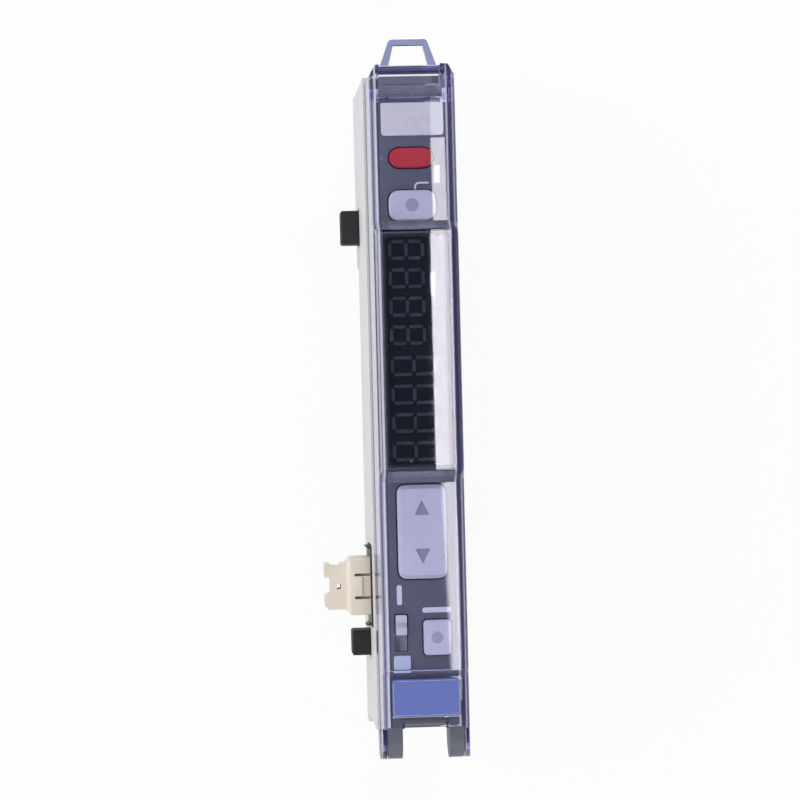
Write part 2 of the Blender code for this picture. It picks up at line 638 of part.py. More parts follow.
def make_front_case():
    rim_z = SEAM_Z + FIT_GAP
    body = box((-HALF_PANEL, PANEL_FIBRE_Y, rim_z), (HALF_PANEL, PANEL_CABLE_Y, PANEL_Z))
    trim_corners(body, COVER_HALF, COVER_END_Y, COVER_SIDE + FIT_GAP)
    slope = Vector((0.0, SCOOP_DROP, SCOOP_LENGTH - SCOOP_STEP))
    trim(body, Vector((0.0, SLOPE_Y, PANEL_Z)), slope)
    case = new_object("front_case", body, "grey_moulding")
    skirt_half = CAVITY_HALF - FIT_GAP
    skirt_y = CABLE_END_Y - CABLE_WALL - FIT_GAP
    fuse(case, "skirt", box((-skirt_half, SKIRT_FIBRE_Y, SEAM_Z - SKIRT_DEPTH),
                            (skirt_half, skirt_y - FIT_GAP, rim_z + SINK)))
    frame_half = DISPLAY_WIDTH / 2 + SLIDE_GAP / 2 + FRAME_WALL
    fuse(case, "display_frame", box((-frame_half, DISPLAY_LOW_Y - FRAME_WALL, PANEL_Z - SINK),
                                    (frame_half, DISPLAY_HIGH_Y + FRAME_WALL, FRAME_Z)))
    for side, name in ((-1, "left"), (1, "right")):
        inner = side * (HALF_PANEL - PRONG_THICKNESS)
        outer = side * HALF_PANEL
        fuse(case, "prong_" + name, prism(prong_outline(), "X", min(inner, outer),
                                          max(inner, outer)))
        lug = side * (HALF_PANEL - PRONG_THICKNESS - LUG_REACH)
        lug_y = HINGE_Y + BOSS_RADIUS
        fuse(case, "lug_" + name, box((min(lug, inner + side * SINK), lug_y, HINGE_Z),
                                      (max(lug, inner + side * SINK), lug_y + LUG_SIDE,
                                       HINGE_Z + LUG_SIDE)))
        boss = circle((HINGE_Y, HINGE_Z), BOSS_RADIUS, 20)
        start = side * (HALF_PANEL - SINK)
        end = side * (COVER_HALF - COVER_INNER_DRAFT - SLIDE_GAP)
        fuse(case, "boss_" + name, prism(boss, "X", min(start, end), max(start, end)))
    hollow_low = SKIRT_FIBRE_Y + PANEL_WALL
    cut(case, "hollow", box((-PANEL_INNER, hollow_low, SEAM_Z - SKIRT_DEPTH - PAST),
                            (PANEL_INNER, SLOPE_Y, SKIN_UNDER_Z)))
    ledge_z = WINDOW_Z - WINDOW_THICKNESS - SLIDE_GAP
    shaft = (DISPLAY_WIDTH - 2 * WINDOW_LEDGE, DISPLAY_LENGTH - 2 * WINDOW_LEDGE)
    cut(case, "display_shaft", prism(rounded((0.0, DISPLAY_MID_Y), shaft, PEG_CORNER), "Z",
                                     SKIN_UNDER_Z - PAST, FRAME_Z + PAST))
    pocket = grown((DISPLAY_WIDTH, DISPLAY_LENGTH), SLIDE_GAP / 2)
    cut(case, "window_pocket", prism(rounded((0.0, DISPLAY_MID_Y), pocket, PEG_CORNER), "Z",
                                     ledge_z, FRAME_Z + PAST))
    for name, place, size, corner in (
            ("set_hole", SET_KEY, SET_KEY_SIZE, SET_KEY_CORNER),
            ("mode_hole", MODE_KEY, MODE_KEY_SIZE, MODE_KEY_CORNER),
            ("rocker_hole", ROCKER, ROCKER_SIZE, ROCKER_CORNER),
            ("lens_hole", LENS, LENS_SIZE, LENS_SIZE[1] / 2)):
        outline = rounded(place, grown(size, SLIDE_GAP), corner + SLIDE_GAP)
        cut(case, name, prism(outline, "Z", SKIN_UNDER_Z - PAST, PANEL_Z + PAST))
    slot_size = (KNOB_SIZE[0], KNOB_SIZE[1] + KNOB_TRAVEL)
    slot_place = (KNOB[0], KNOB[1] - KNOB_TRAVEL / 2)
    slot = rounded(slot_place, grown(slot_size, SLIDE_GAP), SLIDE_GAP)
    cut(case, "knob_slot", prism(slot, "Z", SKIN_UNDER_Z - PAST, PANEL_Z + PAST))
    pivot = circle((ROCKER[1], SKIN_UNDER_Z + PANEL_SKIN - ROCKER_PIVOT_DROP),
                   TRUNNION_RADIUS + SLIDE_GAP, 16)
    bite = PANEL_INNER + TRUNNION_BITE + SLIDE_GAP
    cut(case, "rocker_pivots", prism(pivot, "X", -bite, bite))
    return case


# Dust cover and its plate

def cover_outer_outline():
    bottom = SEAM_Z + FIT_GAP
    frame_low = DISPLAY_LOW_Y - FRAME_WALL
    frame_high = DISPLAY_HIGH_Y + FRAME_WALL
    drop = math.degrees(math.asin((HINGE_Z - bottom) / ARM_RADIUS))
    lean = math.degrees(math.acos((COVER_BAR_END_Y - HINGE_Y) / ARM_RADIUS))
    arm = arc((HINGE_Y, HINGE_Z), ARM_RADIUS, lean, 360 - drop, 20)
    return [(COVER_END_Y, bottom), (COVER_END_Y, LOW_OUTER_Z),
            (frame_high + COVER_RAMP_CABLE, LOW_OUTER_Z),
            (frame_high, HIGH_OUTER_Z), (frame_low, HIGH_OUTER_Z),
            (frame_low - COVER_RAMP_FIBRE, LOW_OUTER_Z),
            (COVER_PAD_Y + COVER_PAD_DROP, LOW_OUTER_Z), (COVER_PAD_Y, PAD_OUTER_Z),
            (COVER_BAR_END_Y, PAD_OUTER_Z)] + arm


def cover_inner_outline():
    frame_low = DISPLAY_LOW_Y - FRAME_WALL + COVER_RAMP_INSET
    frame_high = DISPLAY_HIGH_Y + FRAME_WALL - COVER_RAMP_INSET
    under = HINGE_Z - ARM_RADIUS - PAST
    inner_end = CABLE_END_Y + FIT_GAP
    open_end = HINGE_Y - ARM_RADIUS - PAST
    return [(inner_end, under), (inner_end, LOW_INNER_Z),
            (frame_high + COVER_RAMP_CABLE, LOW_INNER_Z), (frame_high, HIGH_INNER_Z),
            (frame_low, HIGH_INNER_Z), (frame_low - COVER_RAMP_FIBRE, LOW_INNER_Z),
            (COVER_PAD_Y + COVER_PAD_DROP, LOW_INNER_Z), (COVER_PAD_Y, PAD_INNER_Z),
            (open_end, PAD_INNER_Z), (open_end, under)]


def scoop_line(drop, back):
    # Side view of the scoop's floor: a steep part, then a flatter one to the tab.
    step = COVER_END_Y - SCOOP_STEP - back
    low = LOW_OUTER_Z - SCOOP_DROP - drop
    return [(SLOPE_Y - back, LOW_OUTER_Z - drop), (step, low), (COVER_END_Y, low - SCOOP_FALL)]


def scoop_floor():
    # Fills the cover's end down to the underside of the scoop.
    start, step, end = scoop_line(COVER_SKIN, SCOOP_ROOT)
    end_y = COVER_END_Y - 2 * LABEL_GAP
    top = LOW_OUTER_Z - COVER_SKIN / 2
    outline = [(start[0], top), (start[0], start[1] - LABEL_GAP), step, (end_y, end[1]),
               (end_y, top)]
    half = COVER_INNER_HALF + SINK
    bm = prism(outline, "X", -half, half)
    trim_corners(bm, COVER_HALF, COVER_END_Y, SINK)
    return bm


def scoop_hollow():
    start, step, end = scoop_line(0.0, 0.0)
    steep = (start[0] - step[0], start[1] - step[1])
    above = (start[0] + steep[0] / 2, start[1] + steep[1] / 2)
    past_end = COVER_END_Y + TAB_REACH
    outline = [above, step, end, (past_end, end[1]), (past_end, above[1])]
    bm = prism(outline, "X", -1.0, 1.0)
    for vert in bm.verts:
        half = TAB_BASE_WIDTH / 2 + SINK / 2 + max(0.0, COVER_END_Y - vert.co.y) * SCOOP_FLARE
        vert.co.x = TAB_X + vert.co.x * half
    return bm


def tab_outline():
    tip = COVER_END_Y + TAB_REACH
    root = COVER_END_Y - TAB_BAR
    half_tip = TAB_TIP_WIDTH / 2 - TAB_TIP_ROUND
    right = [(TAB_BASE_WIDTH / 2, root), (TAB_BASE_WIDTH / 2, COVER_END_Y)]
    right += arc((half_tip, tip - TAB_TIP_ROUND), TAB_TIP_ROUND, 15, 90, 4)
    outline = right + [(-x, y) for x, y in reversed(right)]
    return [(x + TAB_X, y) for x, y in outline]


def tab_window():
    low = COVER_END_Y + LABEL_GAP
    high = COVER_END_Y + TAB_REACH - TAB_BAR
    half_high = TAB_TIP_WIDTH / 2 - TAB_BAR
    half_low = TAB_BASE_WIDTH / 2 - TAB_ARM
    return [(TAB_X - half_low, low), (TAB_X + half_low, low), (TAB_X + half_high, high),
            (TAB_X - half_high, high)]


def make_dust_cover():
    bottom = SEAM_Z + FIT_GAP
    pivot = (0.0, HINGE_Y, HINGE_Z)
    bm = drafted(cover_outer_outline(), COVER_HALF, COVER_HALF - COVER_DRAFT, bottom, HIGH_OUTER_Z)

    def front_edge(a, b):
        high = min(a.z, b.z) > HINGE_Z + ARM_RADIUS and max(a.z, b.z) > PAD_OUTER_Z - 1e-6
        same_side = a.x * b.x > 0
        end_upright = abs(a.y - COVER_BAR_END_Y) < 1e-6 and abs(b.y - COVER_BAR_END_Y) < 1e-6
        return high and same_side and not end_upright

    trim_corners(bm, COVER_HALF, COVER_END_Y, 0.0)
    bevel_where(bm, front_edge, COVER_EDGE_ROUND, 4)
    cover = new_object("dust_cover", bm, "tinted_clear", pivot)
    inner = drafted(cover_inner_outline(), COVER_INNER_HALF, COVER_INNER_HALF - COVER_INNER_DRAFT,
                    bottom, HIGH_INNER_Z)
    trim_corners(inner, COVER_HALF, COVER_END_Y, COVER_SIDE)
    cut(cover, "inside", inner)
    fuse(cover, "scoop_floor", scoop_floor())
    cut(cover, "scoop", scoop_hollow())
    gap_half = COVER_INNER_HALF
    cut(cover, "arm_gap", box((-gap_half, HINGE_Y - ARM_RADIUS - PAST, HINGE_Z - ARM_RADIUS - PAST),
                              (gap_half, COVER_BAR_END_Y + SINK, LOW_OUTER_Z + PAST)))
    hole = circle((HINGE_Y, HINGE_Z), BOSS_RADIUS + BOSS_CLEAR, 20)
    cut(cover, "boss_holes", prism(hole, "X", -HALF_CASE - PAST, HALF_CASE + PAST))
    catch_in = CABLE_END_Y + FIT_GAP + LABEL_GAP
    catch_z = LOW_OUTER_Z - SCOOP_DROP - COVER_SKIN / 2
    fuse(cover, "catch", box((-CATCH_WIDTH / 2, catch_in, LOW_OUTER_Z - CATCH_DEPTH),
                             (CATCH_WIDTH / 2, COVER_END_Y - LABEL_GAP, catch_z)))
    fuse(cover, "tab", prism(tab_outline(), "Z", TAB_TOP_Z - TAB_THICKNESS, TAB_TOP_Z))
    cut(cover, "tab_window", prism(tab_window(), "Z", TAB_TOP_Z - TAB_THICKNESS - PAST,
                                   TAB_TOP_Z + PAST))
    recess = rounded((0.0, TYPE_PLATE_Y), grown((TYPE_PLATE_WIDTH, TYPE_PLATE_LENGTH), SLIDE_GAP),
                     PEG_CORNER + SLIDE_GAP)
    cut(cover, "plate_recess", prism(recess, "Z", PAD_OUTER_Z - TYPE_PLATE_RECESS,
                                     PAD_OUTER_Z + PAST))
    return cover


def plate(name, place, size, base, thickness, finish, corner):
    edge = thickness / 3
    levels = [(rounded(place, size, corner), base),
              (rounded(place, size, corner), base + thickness - edge),
              (rounded(place, grown(size, -edge), corner - edge), base + thickness)]
    return new_object(name, lofted(levels), finish)


def make_plates():
    plate("name_plate", NAME_PLATE, NAME_PLATE_SIZE, PANEL_Z + LABEL_GAP, PLATE_THICKNESS,
          "pale_plate", PEG_CORNER)
    plate("mark_plate", MARK_PLATE, MARK_PLATE_SIZE, PANEL_Z + LABEL_GAP, PLATE_THICKNESS,
          "pale_plate", PEG_CORNER / 2)
    base = PAD_OUTER_Z - TYPE_PLATE_RECESS + LABEL_GAP
    plate("type_plate", (0.0, TYPE_PLATE_Y), (TYPE_PLATE_WIDTH, TYPE_PLATE_LENGTH), base,
          TYPE_PLATE_THICKNESS, "blue_plate", PEG_CORNER)


# Keys, knob and lens

def key_stack(place, size, corner, proud, stem_z, dimple_radius):
    # Stem, flange under the panel, cap through its hole, and a round dimple on top.
    top = PANEL_Z + proud
    flange_top = SKIN_UNDER_Z - FIT_GAP
    flange_low = flange_top - KEY_FLANGE_HEIGHT
    stem = rounded(place, (KEY_STEM_WIDTH, KEY_STEM_WIDTH), KEY_STEM_CORNER)
    flange = rounded(place, grown(size, KEY_FLANGE), corner)
    cap = rounded(place, size, corner)
    cap_top = rounded(place, grown(size, -KEY_EDGE), corner - KEY_EDGE)
    levels = [(stem, stem_z), (stem, flange_low), (flange, flange_low), (flange, flange_top),
              (cap, flange_top), (cap, top - KEY_EDGE), (cap_top, top)]
    if dimple_radius:
        rim = rounded(place, (2 * dimple_radius, 2 * dimple_radius), dimple_radius)
        floor_radius = dimple_radius - DIMPLE_WALL
        floor = rounded(place, (2 * floor_radius, 2 * floor_radius), floor_radius)
        levels += [(rim, top), (floor, top - DIMPLE_DEPTH)]
    return lofted(levels)


def make_press_keys():
    stem_z = PLUNGER_TOP_Z + KEY_TRAVEL + PLUNGER_GAP
    for name, place, size, corner, dimple in (
            ("set_key", SET_KEY, SET_KEY_SIZE, SET_KEY_CORNER, SET_DIMPLE_RADIUS),
            ("mode_key", MODE_KEY, MODE_KEY_SIZE, MODE_KEY_CORNER, MODE_DIMPLE_RADIUS)):
        bm = key_stack(place, size, corner, KEY_PROUD, stem_z, dimple)
        new_object(name, bm, "key_grey", (place[0], place[1], PANEL_Z))


def rocker_arrow(direction):
    # Shallow arrow recess that points to one end of the key.
    tip = ROCKER[1] + direction * (ROCKER_SIZE[1] / 2 - ARROW_INSET)
    base = tip - direction * ARROW_LENGTH
    half = ARROW_WIDTH / 2
    top = PANEL_Z + ROCKER_PROUD
    return prism([(ROCKER[0] - half, base), (ROCKER[0] + half, base), (ROCKER[0], tip)], "Z",
                 top - DIMPLE_DEPTH, top + PAST)


def make_rocker():
    pivot_z = PANEL_Z - ROCKER_PIVOT_DROP
    top = PANEL_Z + ROCKER_PROUD
    low = SKIN_UNDER_Z - KEY_FLANGE_HEIGHT
    edge = ROCKER_EDGE
    levels = [(rounded(ROCKER, ROCKER_SIZE, ROCKER_CORNER), low),
              (rounded(ROCKER, ROCKER_SIZE, ROCKER_CORNER), top - edge),
              (rounded(ROCKER, grown(ROCKER_SIZE, -edge), ROCKER_CORNER - edge), top)]
    rocker = new_object("rocker_key", lofted(levels), "key_grey", (ROCKER[0], ROCKER[1], pivot_z))
    web = KEY_STEM_WIDTH / 2
    fuse(rocker, "web", box((-web, ROCKER[1] - web, pivot_z - web),
                            (web, ROCKER[1] + web, low + SINK)))
    trunnion = circle((ROCKER[1], pivot_z), TRUNNION_RADIUS, 16)
    reach = PANEL_INNER + TRUNNION_BITE
    fuse(rocker, "trunnions", prism(trunnion, "X", -reach, reach))
    foot_z = PLUNGER_TOP_Z + FIT_GAP
    for direction, name in ((1, "up"), (-1, "down")):
        y = ROCKER[1] + direction * ROCKER_FOOT_Y
        fuse(rocker, "foot_" + name, box((-web, y - web, foot_z), (web, y + web, low + SINK)))
        cut(rocker, "arrow_" + name, rocker_arrow(direction))
    return rocker


def make_selector():
    flange_top = SKIN_UNDER_Z - FIT_GAP
    flange_low = flange_top - KEY_FLANGE_HEIGHT
    top = PANEL_Z + KNOB_PROUD
    stem_z = SWITCH_BASE_Z + SLIDE_SWITCH_SIZE[2] + FIT_GAP
    stem_size = grown(KNOB_SIZE, -KNOB_STEM_INSET)
    flange_size = (KNOB_SIZE[0] + SLIDE_GAP, KNOB_SIZE[1] + 2 * KNOB_TRAVEL + 2 * KEY_FLANGE)
    corner = KEY_EDGE
    knob = (KNOB[0], KNOB[1])
    levels = [(rounded(knob, stem_size, corner), stem_z),
              (rounded(knob, stem_size, corner), flange_low),
              (rounded(knob, flange_size, corner), flange_low),
              (rounded(knob, flange_size, corner), flange_top),
              (rounded(knob, KNOB_SIZE, corner), flange_top),
              (rounded(knob, KNOB_SIZE, corner), top)]
    selector = new_object("selector_knob", lofted(levels), "key_grey",
                          (KNOB[0], KNOB[1], PANEL_Z))
    groove = KNOB_GROOVE_WIDTH / 2
    half = KNOB_SIZE[0]
    cut(selector, "grip_groove", box((KNOB[0] - half, KNOB[1] - groove, top - KNOB_GROOVE),
                                     (KNOB[0] + half, KNOB[1] + groove, top + PAST)))


def make_lens():
    flange_top = SKIN_UNDER_Z - FIT_GAP
    flange_low = flange_top - KEY_FLANGE_HEIGHT
    top = PANEL_Z + LENS_PROUD
    radius = LENS_SIZE[1] / 2
    led_top = BOARD_TOP_Z + SLIDE_GAP + LED_SIZE[2]
    guide = grown(LENS_SIZE, -LENS_GUIDE_INSET)
    levels = [(rounded(LENS, guide, guide[1] / 2), led_top + FIT_GAP),
              (rounded(LENS, guide, guide[1] / 2), flange_low),
              (rounded(LENS, grown(LENS_SIZE, KEY_FLANGE), radius + KEY_FLANGE), flange_low),
              (rounded(LENS, grown(LENS_SIZE, KEY_FLANGE), radius + KEY_FLANGE), flange_top),
              (rounded(LENS, LENS_SIZE, radius), flange_top),
              (rounded(LENS, LENS_SIZE, radius), top - KEY_EDGE),
              (rounded(LENS, grown(LENS_SIZE, -KEY_EDGE), radius - KEY_EDGE), top)]
    new_object("indicator_lens", lofted(levels), "red_lens")


# Display

def segment(bm, start, end, low, high):
    # A bar with pointed ends between two points of a digit.
    along = Vector((end[0] - start[0], end[1] - start[1]))
    length = along.length
    along.normalize()
    across = Vector((-along.y, along.x)) * SEGMENT_WIDTH / 2
    point = SEGMENT_WIDTH / 2
    first = Vector(start) + along * SEGMENT_GAP
    last = Vector(start) + along * (length - SEGMENT_GAP)
    outline = [first, first + along * point - across, last - along * point - across, last,
               last - along * point + across, first + along * point + across]
    add_prism(bm, [(p.x, p.y) for p in outline], "Z", low, high)


def digit(bm, foot_x, height, middle_y, low, high):
    # Seven bars. The digit stands with its top towards +X.
    inset = SEGMENT_WIDTH / 2
    left = middle_y + DIGIT_WIDTH / 2 - inset
    right = middle_y - DIGIT_WIDTH / 2 + inset
    rows = [foot_x + inset, foot_x + height / 2, foot_x + height - inset]
    for x in rows:
        segment(bm, (x, right), (x, left), low, high)
    for y in (left, right):
        segment(bm, (rows[0], y), (rows[1], y), low, high)
        segment(bm, (rows[1], y), (rows[2], y), low, high)


def make_display():
    window = (DISPLAY_WIDTH - SLIDE_GAP, DISPLAY_LENGTH - SLIDE_GAP)
    base = WINDOW_Z - WINDOW_THICKNESS
    place = (0.0, DISPLAY_MID_Y)
    edge = WINDOW_PROUD / 2
    levels = [(rounded(place, window, PEG_CORNER), base),
              (rounded(place, window, PEG_CORNER), WINDOW_Z - edge),
              (rounded(place, grown(window, -edge), PEG_CORNER - edge), WINDOW_Z)]
    new_object("display_window", lofted(levels), "smoked_clear")

    size = grown((DISPLAY_WIDTH, DISPLAY_LENGTH), -MODULE_INSET)
    face = base - FIT_GAP - SEGMENT_RISE
    module_low = BOARD_TOP_Z + SLIDE_GAP
    body = rounded(place, size, PEG_CORNER)
    module = new_object("display_module", lofted([(body, module_low), (body, face)]),
                        "display_face")
    bars = bmesh.new()
    foot_x = DIGIT_FOOT - size[0] / 2
    pitch = DIGIT_WIDTH + DIGIT_SPACE
    small_y = DISPLAY_HIGH_Y - DIGIT_MARGIN - DIGIT_WIDTH / 2
    tall_y = DISPLAY_LOW_Y + DIGIT_MARGIN + DIGIT_WIDTH / 2
    for row in range(DIGITS_IN_ROW):
        digit(bars, foot_x, TALL_DIGIT_HEIGHT - SMALL_DIGIT_DROP, small_y - row * pitch,
              face - SINK, face + SEGMENT_RISE)
        digit(bars, foot_x, TALL_DIGIT_HEIGHT, tall_y + row * pitch,
              face - SINK, face + SEGMENT_RISE)
    fuse(module, "digits", bars)


# Boards and what is soldered to them

def make_boards():
    low_y = SKIRT_FIBRE_Y + PANEL_WALL + DISPLAY_BOARD_GAP
    high_y = SLOPE_Y - DISPLAY_BOARD_GAP
    half = PANEL_INNER - SLIDE_GAP
    new_object("display_board", box((-half, low_y, BOARD_UNDER_Z), (half, high_y, BOARD_TOP_Z)),
               "board_green")
    low_y = FIBRE_END_Y + MAIN_BOARD_FIBRE_GAP
    high_y = CABLE_END_Y - MAIN_BOARD_CABLE_GAP
    half = BOARD_THICKNESS / 2
    new_object("main_board", box((MAIN_BOARD_X - half, low_y, FLOOR + FIT_GAP),
                                 (MAIN_BOARD_X + half, high_y, MAIN_BOARD_TOP)), "board_green")
    half = CONNECTOR_WIDTH / 2
    new_object("board_connector", box((MAIN_BOARD_X - half, -CONNECTOR_LENGTH / 2,
                                       MAIN_BOARD_TOP + FIT_GAP),
                                      (MAIN_BOARD_X + half, CONNECTOR_LENGTH / 2,
                                       BOARD_UNDER_Z - FIT_GAP)), "black_moulding")


def make_push_switch(name, x, y):
    half = SWITCH_SIDE / 2
    square = rounded((x, y), (SWITCH_SIDE, SWITCH_SIDE), half / 5)
    plunger = rounded((x, y), (2 * PLUNGER_RADIUS, 2 * PLUNGER_RADIUS), PLUNGER_RADIUS)
    levels = [(square, SWITCH_BASE_Z), (square, SWITCH_TOP_Z), (plunger, SWITCH_TOP_Z),
              (plunger, PLUNGER_TOP_Z)]
    new_object(name, lofted(levels), "black_moulding")


def make_switches():
    make_push_switch("set_switch", *SET_KEY)
    make_push_switch("mode_switch", *MODE_KEY)
    make_push_switch("up_switch", ROCKER[0], ROCKER[1] + ROCKER_FOOT_Y)
    make_push_switch("down_switch", ROCKER[0], ROCKER[1] - ROCKER_FOOT_Y)
    width, length, height = SLIDE_SWITCH_SIZE
    middle = KNOB[1] - KNOB_TRAVEL / 2
    half = width / 2
    x = min(KNOB[0], MODE_KEY[0] - SWITCH_SIDE / 2 - half - SLIDE_GAP)
    x = max(x, half + SLIDE_GAP - PANEL_INNER)
    new_object("slide_switch", box((x - half, middle - length / 2, SWITCH_BASE_Z),
                                   (x + half, middle + length / 2, SWITCH_BASE_Z + height)),
               "bright_steel")
    width, length, height = LED_SIZE
    new_object("indicator_led", box((LENS[0] - width / 2, LENS[1] - length / 2, SWITCH_BASE_Z),
                                    (LENS[0] + width / 2, LENS[1] + length / 2,
                                     SWITCH_BASE_Z + height)), "clear_diode")


def on_board(size, place):
    # Corners of a component that stands on the main board's free face.
    rise, length, height = size
    low_x = MAIN_BOARD_FACE + SLIDE_GAP
    low = (low_x, place[0] - length / 2, place[1] - height / 2)
    return low, (low_x + rise, place[0] + length / 2, place[1] + height / 2)


def make_components():
    new_object("controller_chip", box(*on_board(CHIP_SIZE, CHIP_YZ)), "black_moulding")
    new_object("output_transistor", box(*on_board(TRANSISTOR_SIZE, TRANSISTOR_YZ)),
               "black_moulding")
    center = (MAIN_BOARD_FACE + SLIDE_GAP + CAN_RADIUS, CAN_YZ[1])
    can = [(circle(center, CAN_RADIUS, 24), CAN_YZ[0] - CAN_LENGTH / 2),
           (circle(center, CAN_RADIUS, 24), CAN_YZ[0] + CAN_LENGTH / 2)]
    new_object("supply_capacitor", lofted(can, "Y"), "bright_steel")
    low, high = on_board(SHIELD_SIZE, SHIELD_YZ)
    shield = new_object("receiver_shield", box(low, high), "bright_steel")
    wall = SHIELD_WALL
    cut(shield, "inside", box((low[0] - PAST, low[1] + wall, low[2] + wall),
                              (high[0] - wall, high[1] - wall, high[2] - wall)))


# Fibre end

def port_heights():
    return (PORT_LOW_Z, PORT_LOW_Z + PORT_PITCH)


def make_optical_parts():
    half = BLOCK_WIDTH / 2
    back_y = BLOCK_FACE_Y + BLOCK_LENGTH
    low_z = PORT_LOW_Z - BLOCK_MARGIN
    block = new_object("optical_block", box((-half, BLOCK_FACE_Y + FIT_GAP, low_z),
                                            (half, back_y, BLOCK_TOP_Z)), "black_moulding")
    for name, node, z in zip(("emitter", "receiver"), ("emitter_led", "receiver_diode"),
                             port_heights()):
        bore = circle((0.0, z), PORT_RADIUS, 24)
        cut(block, name + "_port", prism(bore, "Y", BLOCK_FACE_Y - PAST, back_y + PAST))
        body = circle((0.0, z), DIODE_RADIUS, 20)
        rim = circle((0.0, z), DIODE_RIM, 20)
        seat = back_y + FIT_GAP
        levels = [(body, seat - DIODE_LENGTH), (body, seat), (rim, seat),
                  (rim, seat + CASE_WALL / 2)]
        new_object(node, lofted(levels, "Y"), "clear_diode")
    base = BLOCK_TOP_Z + SLIDE_GAP
    half -= GRIPPER_INSET
    start = BLOCK_FACE_Y + GRIPPER_INSET
    new_object("fibre_gripper", box((-half, start, base),
                                    (half, start + GRIPPER_LENGTH, base + GRIPPER_THICKNESS)),
               "black_rubber")


def lever_outline():
    # Side view: a plate that hangs from a round barrel on the pin.
    face = FIBRE_END_Y
    back = face + LEVER_THICKNESS
    barrel = arc((LEVER_PIVOT_Y, LEVER_PIVOT_Z), LEVER_BARREL, -30, 180, 14)
    toe = face - LEVER_THICKNESS / 3
    return barrel + [(face, LEVER_PIVOT_Z - LEVER_BARREL), (face, LEVER_TOE_Z + 2 * LEVER_BARREL),
                     (toe, LEVER_TOE_Z + LEVER_BARREL), (toe, LEVER_TOE_Z),
                     (back - FIT_GAP, LEVER_TOE_Z), (back - FIT_GAP, LEVER_PIVOT_Z - LEVER_BARREL)]


def make_lever():
    half = LEVER_WIDTH / 2
    lever = new_object("fibre_lock_lever", prism(lever_outline(), "X", -half, half),
                       "grey_moulding", (0.0, LEVER_PIVOT_Y, LEVER_PIVOT_Z))
    slot = LEVER_SLOT_WIDTH / 2
    cut(lever, "fibre_slot", box((-slot, FIBRE_END_Y - LEVER_THICKNESS - PAST, LEVER_TOE_Z - PAST),
                                 (slot, FIBRE_END_Y + LEVER_THICKNESS,
                                  BLOCK_TOP_Z - 2 * FIT_GAP)))
    bore = circle((LEVER_PIVOT_Y, LEVER_PIVOT_Z), PIN_RADIUS + PIN_CLEAR, 16)
    cut(lever, "bore", prism(bore, "X", -half - PAST, half + PAST))
    pin = circle((LEVER_PIVOT_Y, LEVER_PIVOT_Z), PIN_RADIUS, 16)
    reach = CAVITY_HALF + PIN_BITE
    new_object("lever_pin", prism(pin, "X", -reach, reach), "bright_steel")


# Sides

def make_peg(name, place, size):
    inner = -(CAVITY_HALF - FIT_GAP)
    flange_x = inner + PEG_FLANGE
    outer = -(HALF_CASE + PEG_REACH)
    body = rounded(place, size, PEG_CORNER)
    flange = rounded(place, (size[0] + 2 * LABEL_GAP, size[1] + 2 * PEG_FLANGE), PEG_CORNER)
    tip = rounded(place, grown(size, -KEY_EDGE), PEG_CORNER - KEY_EDGE)
    levels = [(tip, outer), (body, outer + KEY_EDGE), (body, inner), (flange, inner),
              (flange, flange_x)]
    new_object(name, lofted(levels, "X"), "black_rubber")


def tongue_outline():
    # Seen from the front: a tongue with a low step, a bite in its tip and one cut corner.
    tip = -(HALF_CASE + PLUG_TONGUE_REACH)
    root = -(HALF_CASE + PLUG_BLOCK_REACH) + SINK
    low = PLUG_Y - PLUG_TONGUE[0] / 2
    high = PLUG_Y + PLUG_TONGUE[0] / 2
    bite_low = PLUG_Y - PLUG_BITE_LENGTH / 2
    bite_high = PLUG_Y + PLUG_BITE_LENGTH / 2
    step = tip + PLUG_BITE_DEPTH
    return [(root, low), (tip + PLUG_CORNER, low), (tip, low + PLUG_CORNER), (tip, bite_low),
            (step, bite_low + PLUG_STEP), (step, bite_high), (tip, bite_high), (tip, high),
            (step, high), (step, high - PLUG_STEP), (step + PLUG_STEP_LENGTH, high - PLUG_STEP),
            (step + PLUG_STEP_LENGTH, high), (root, high)]


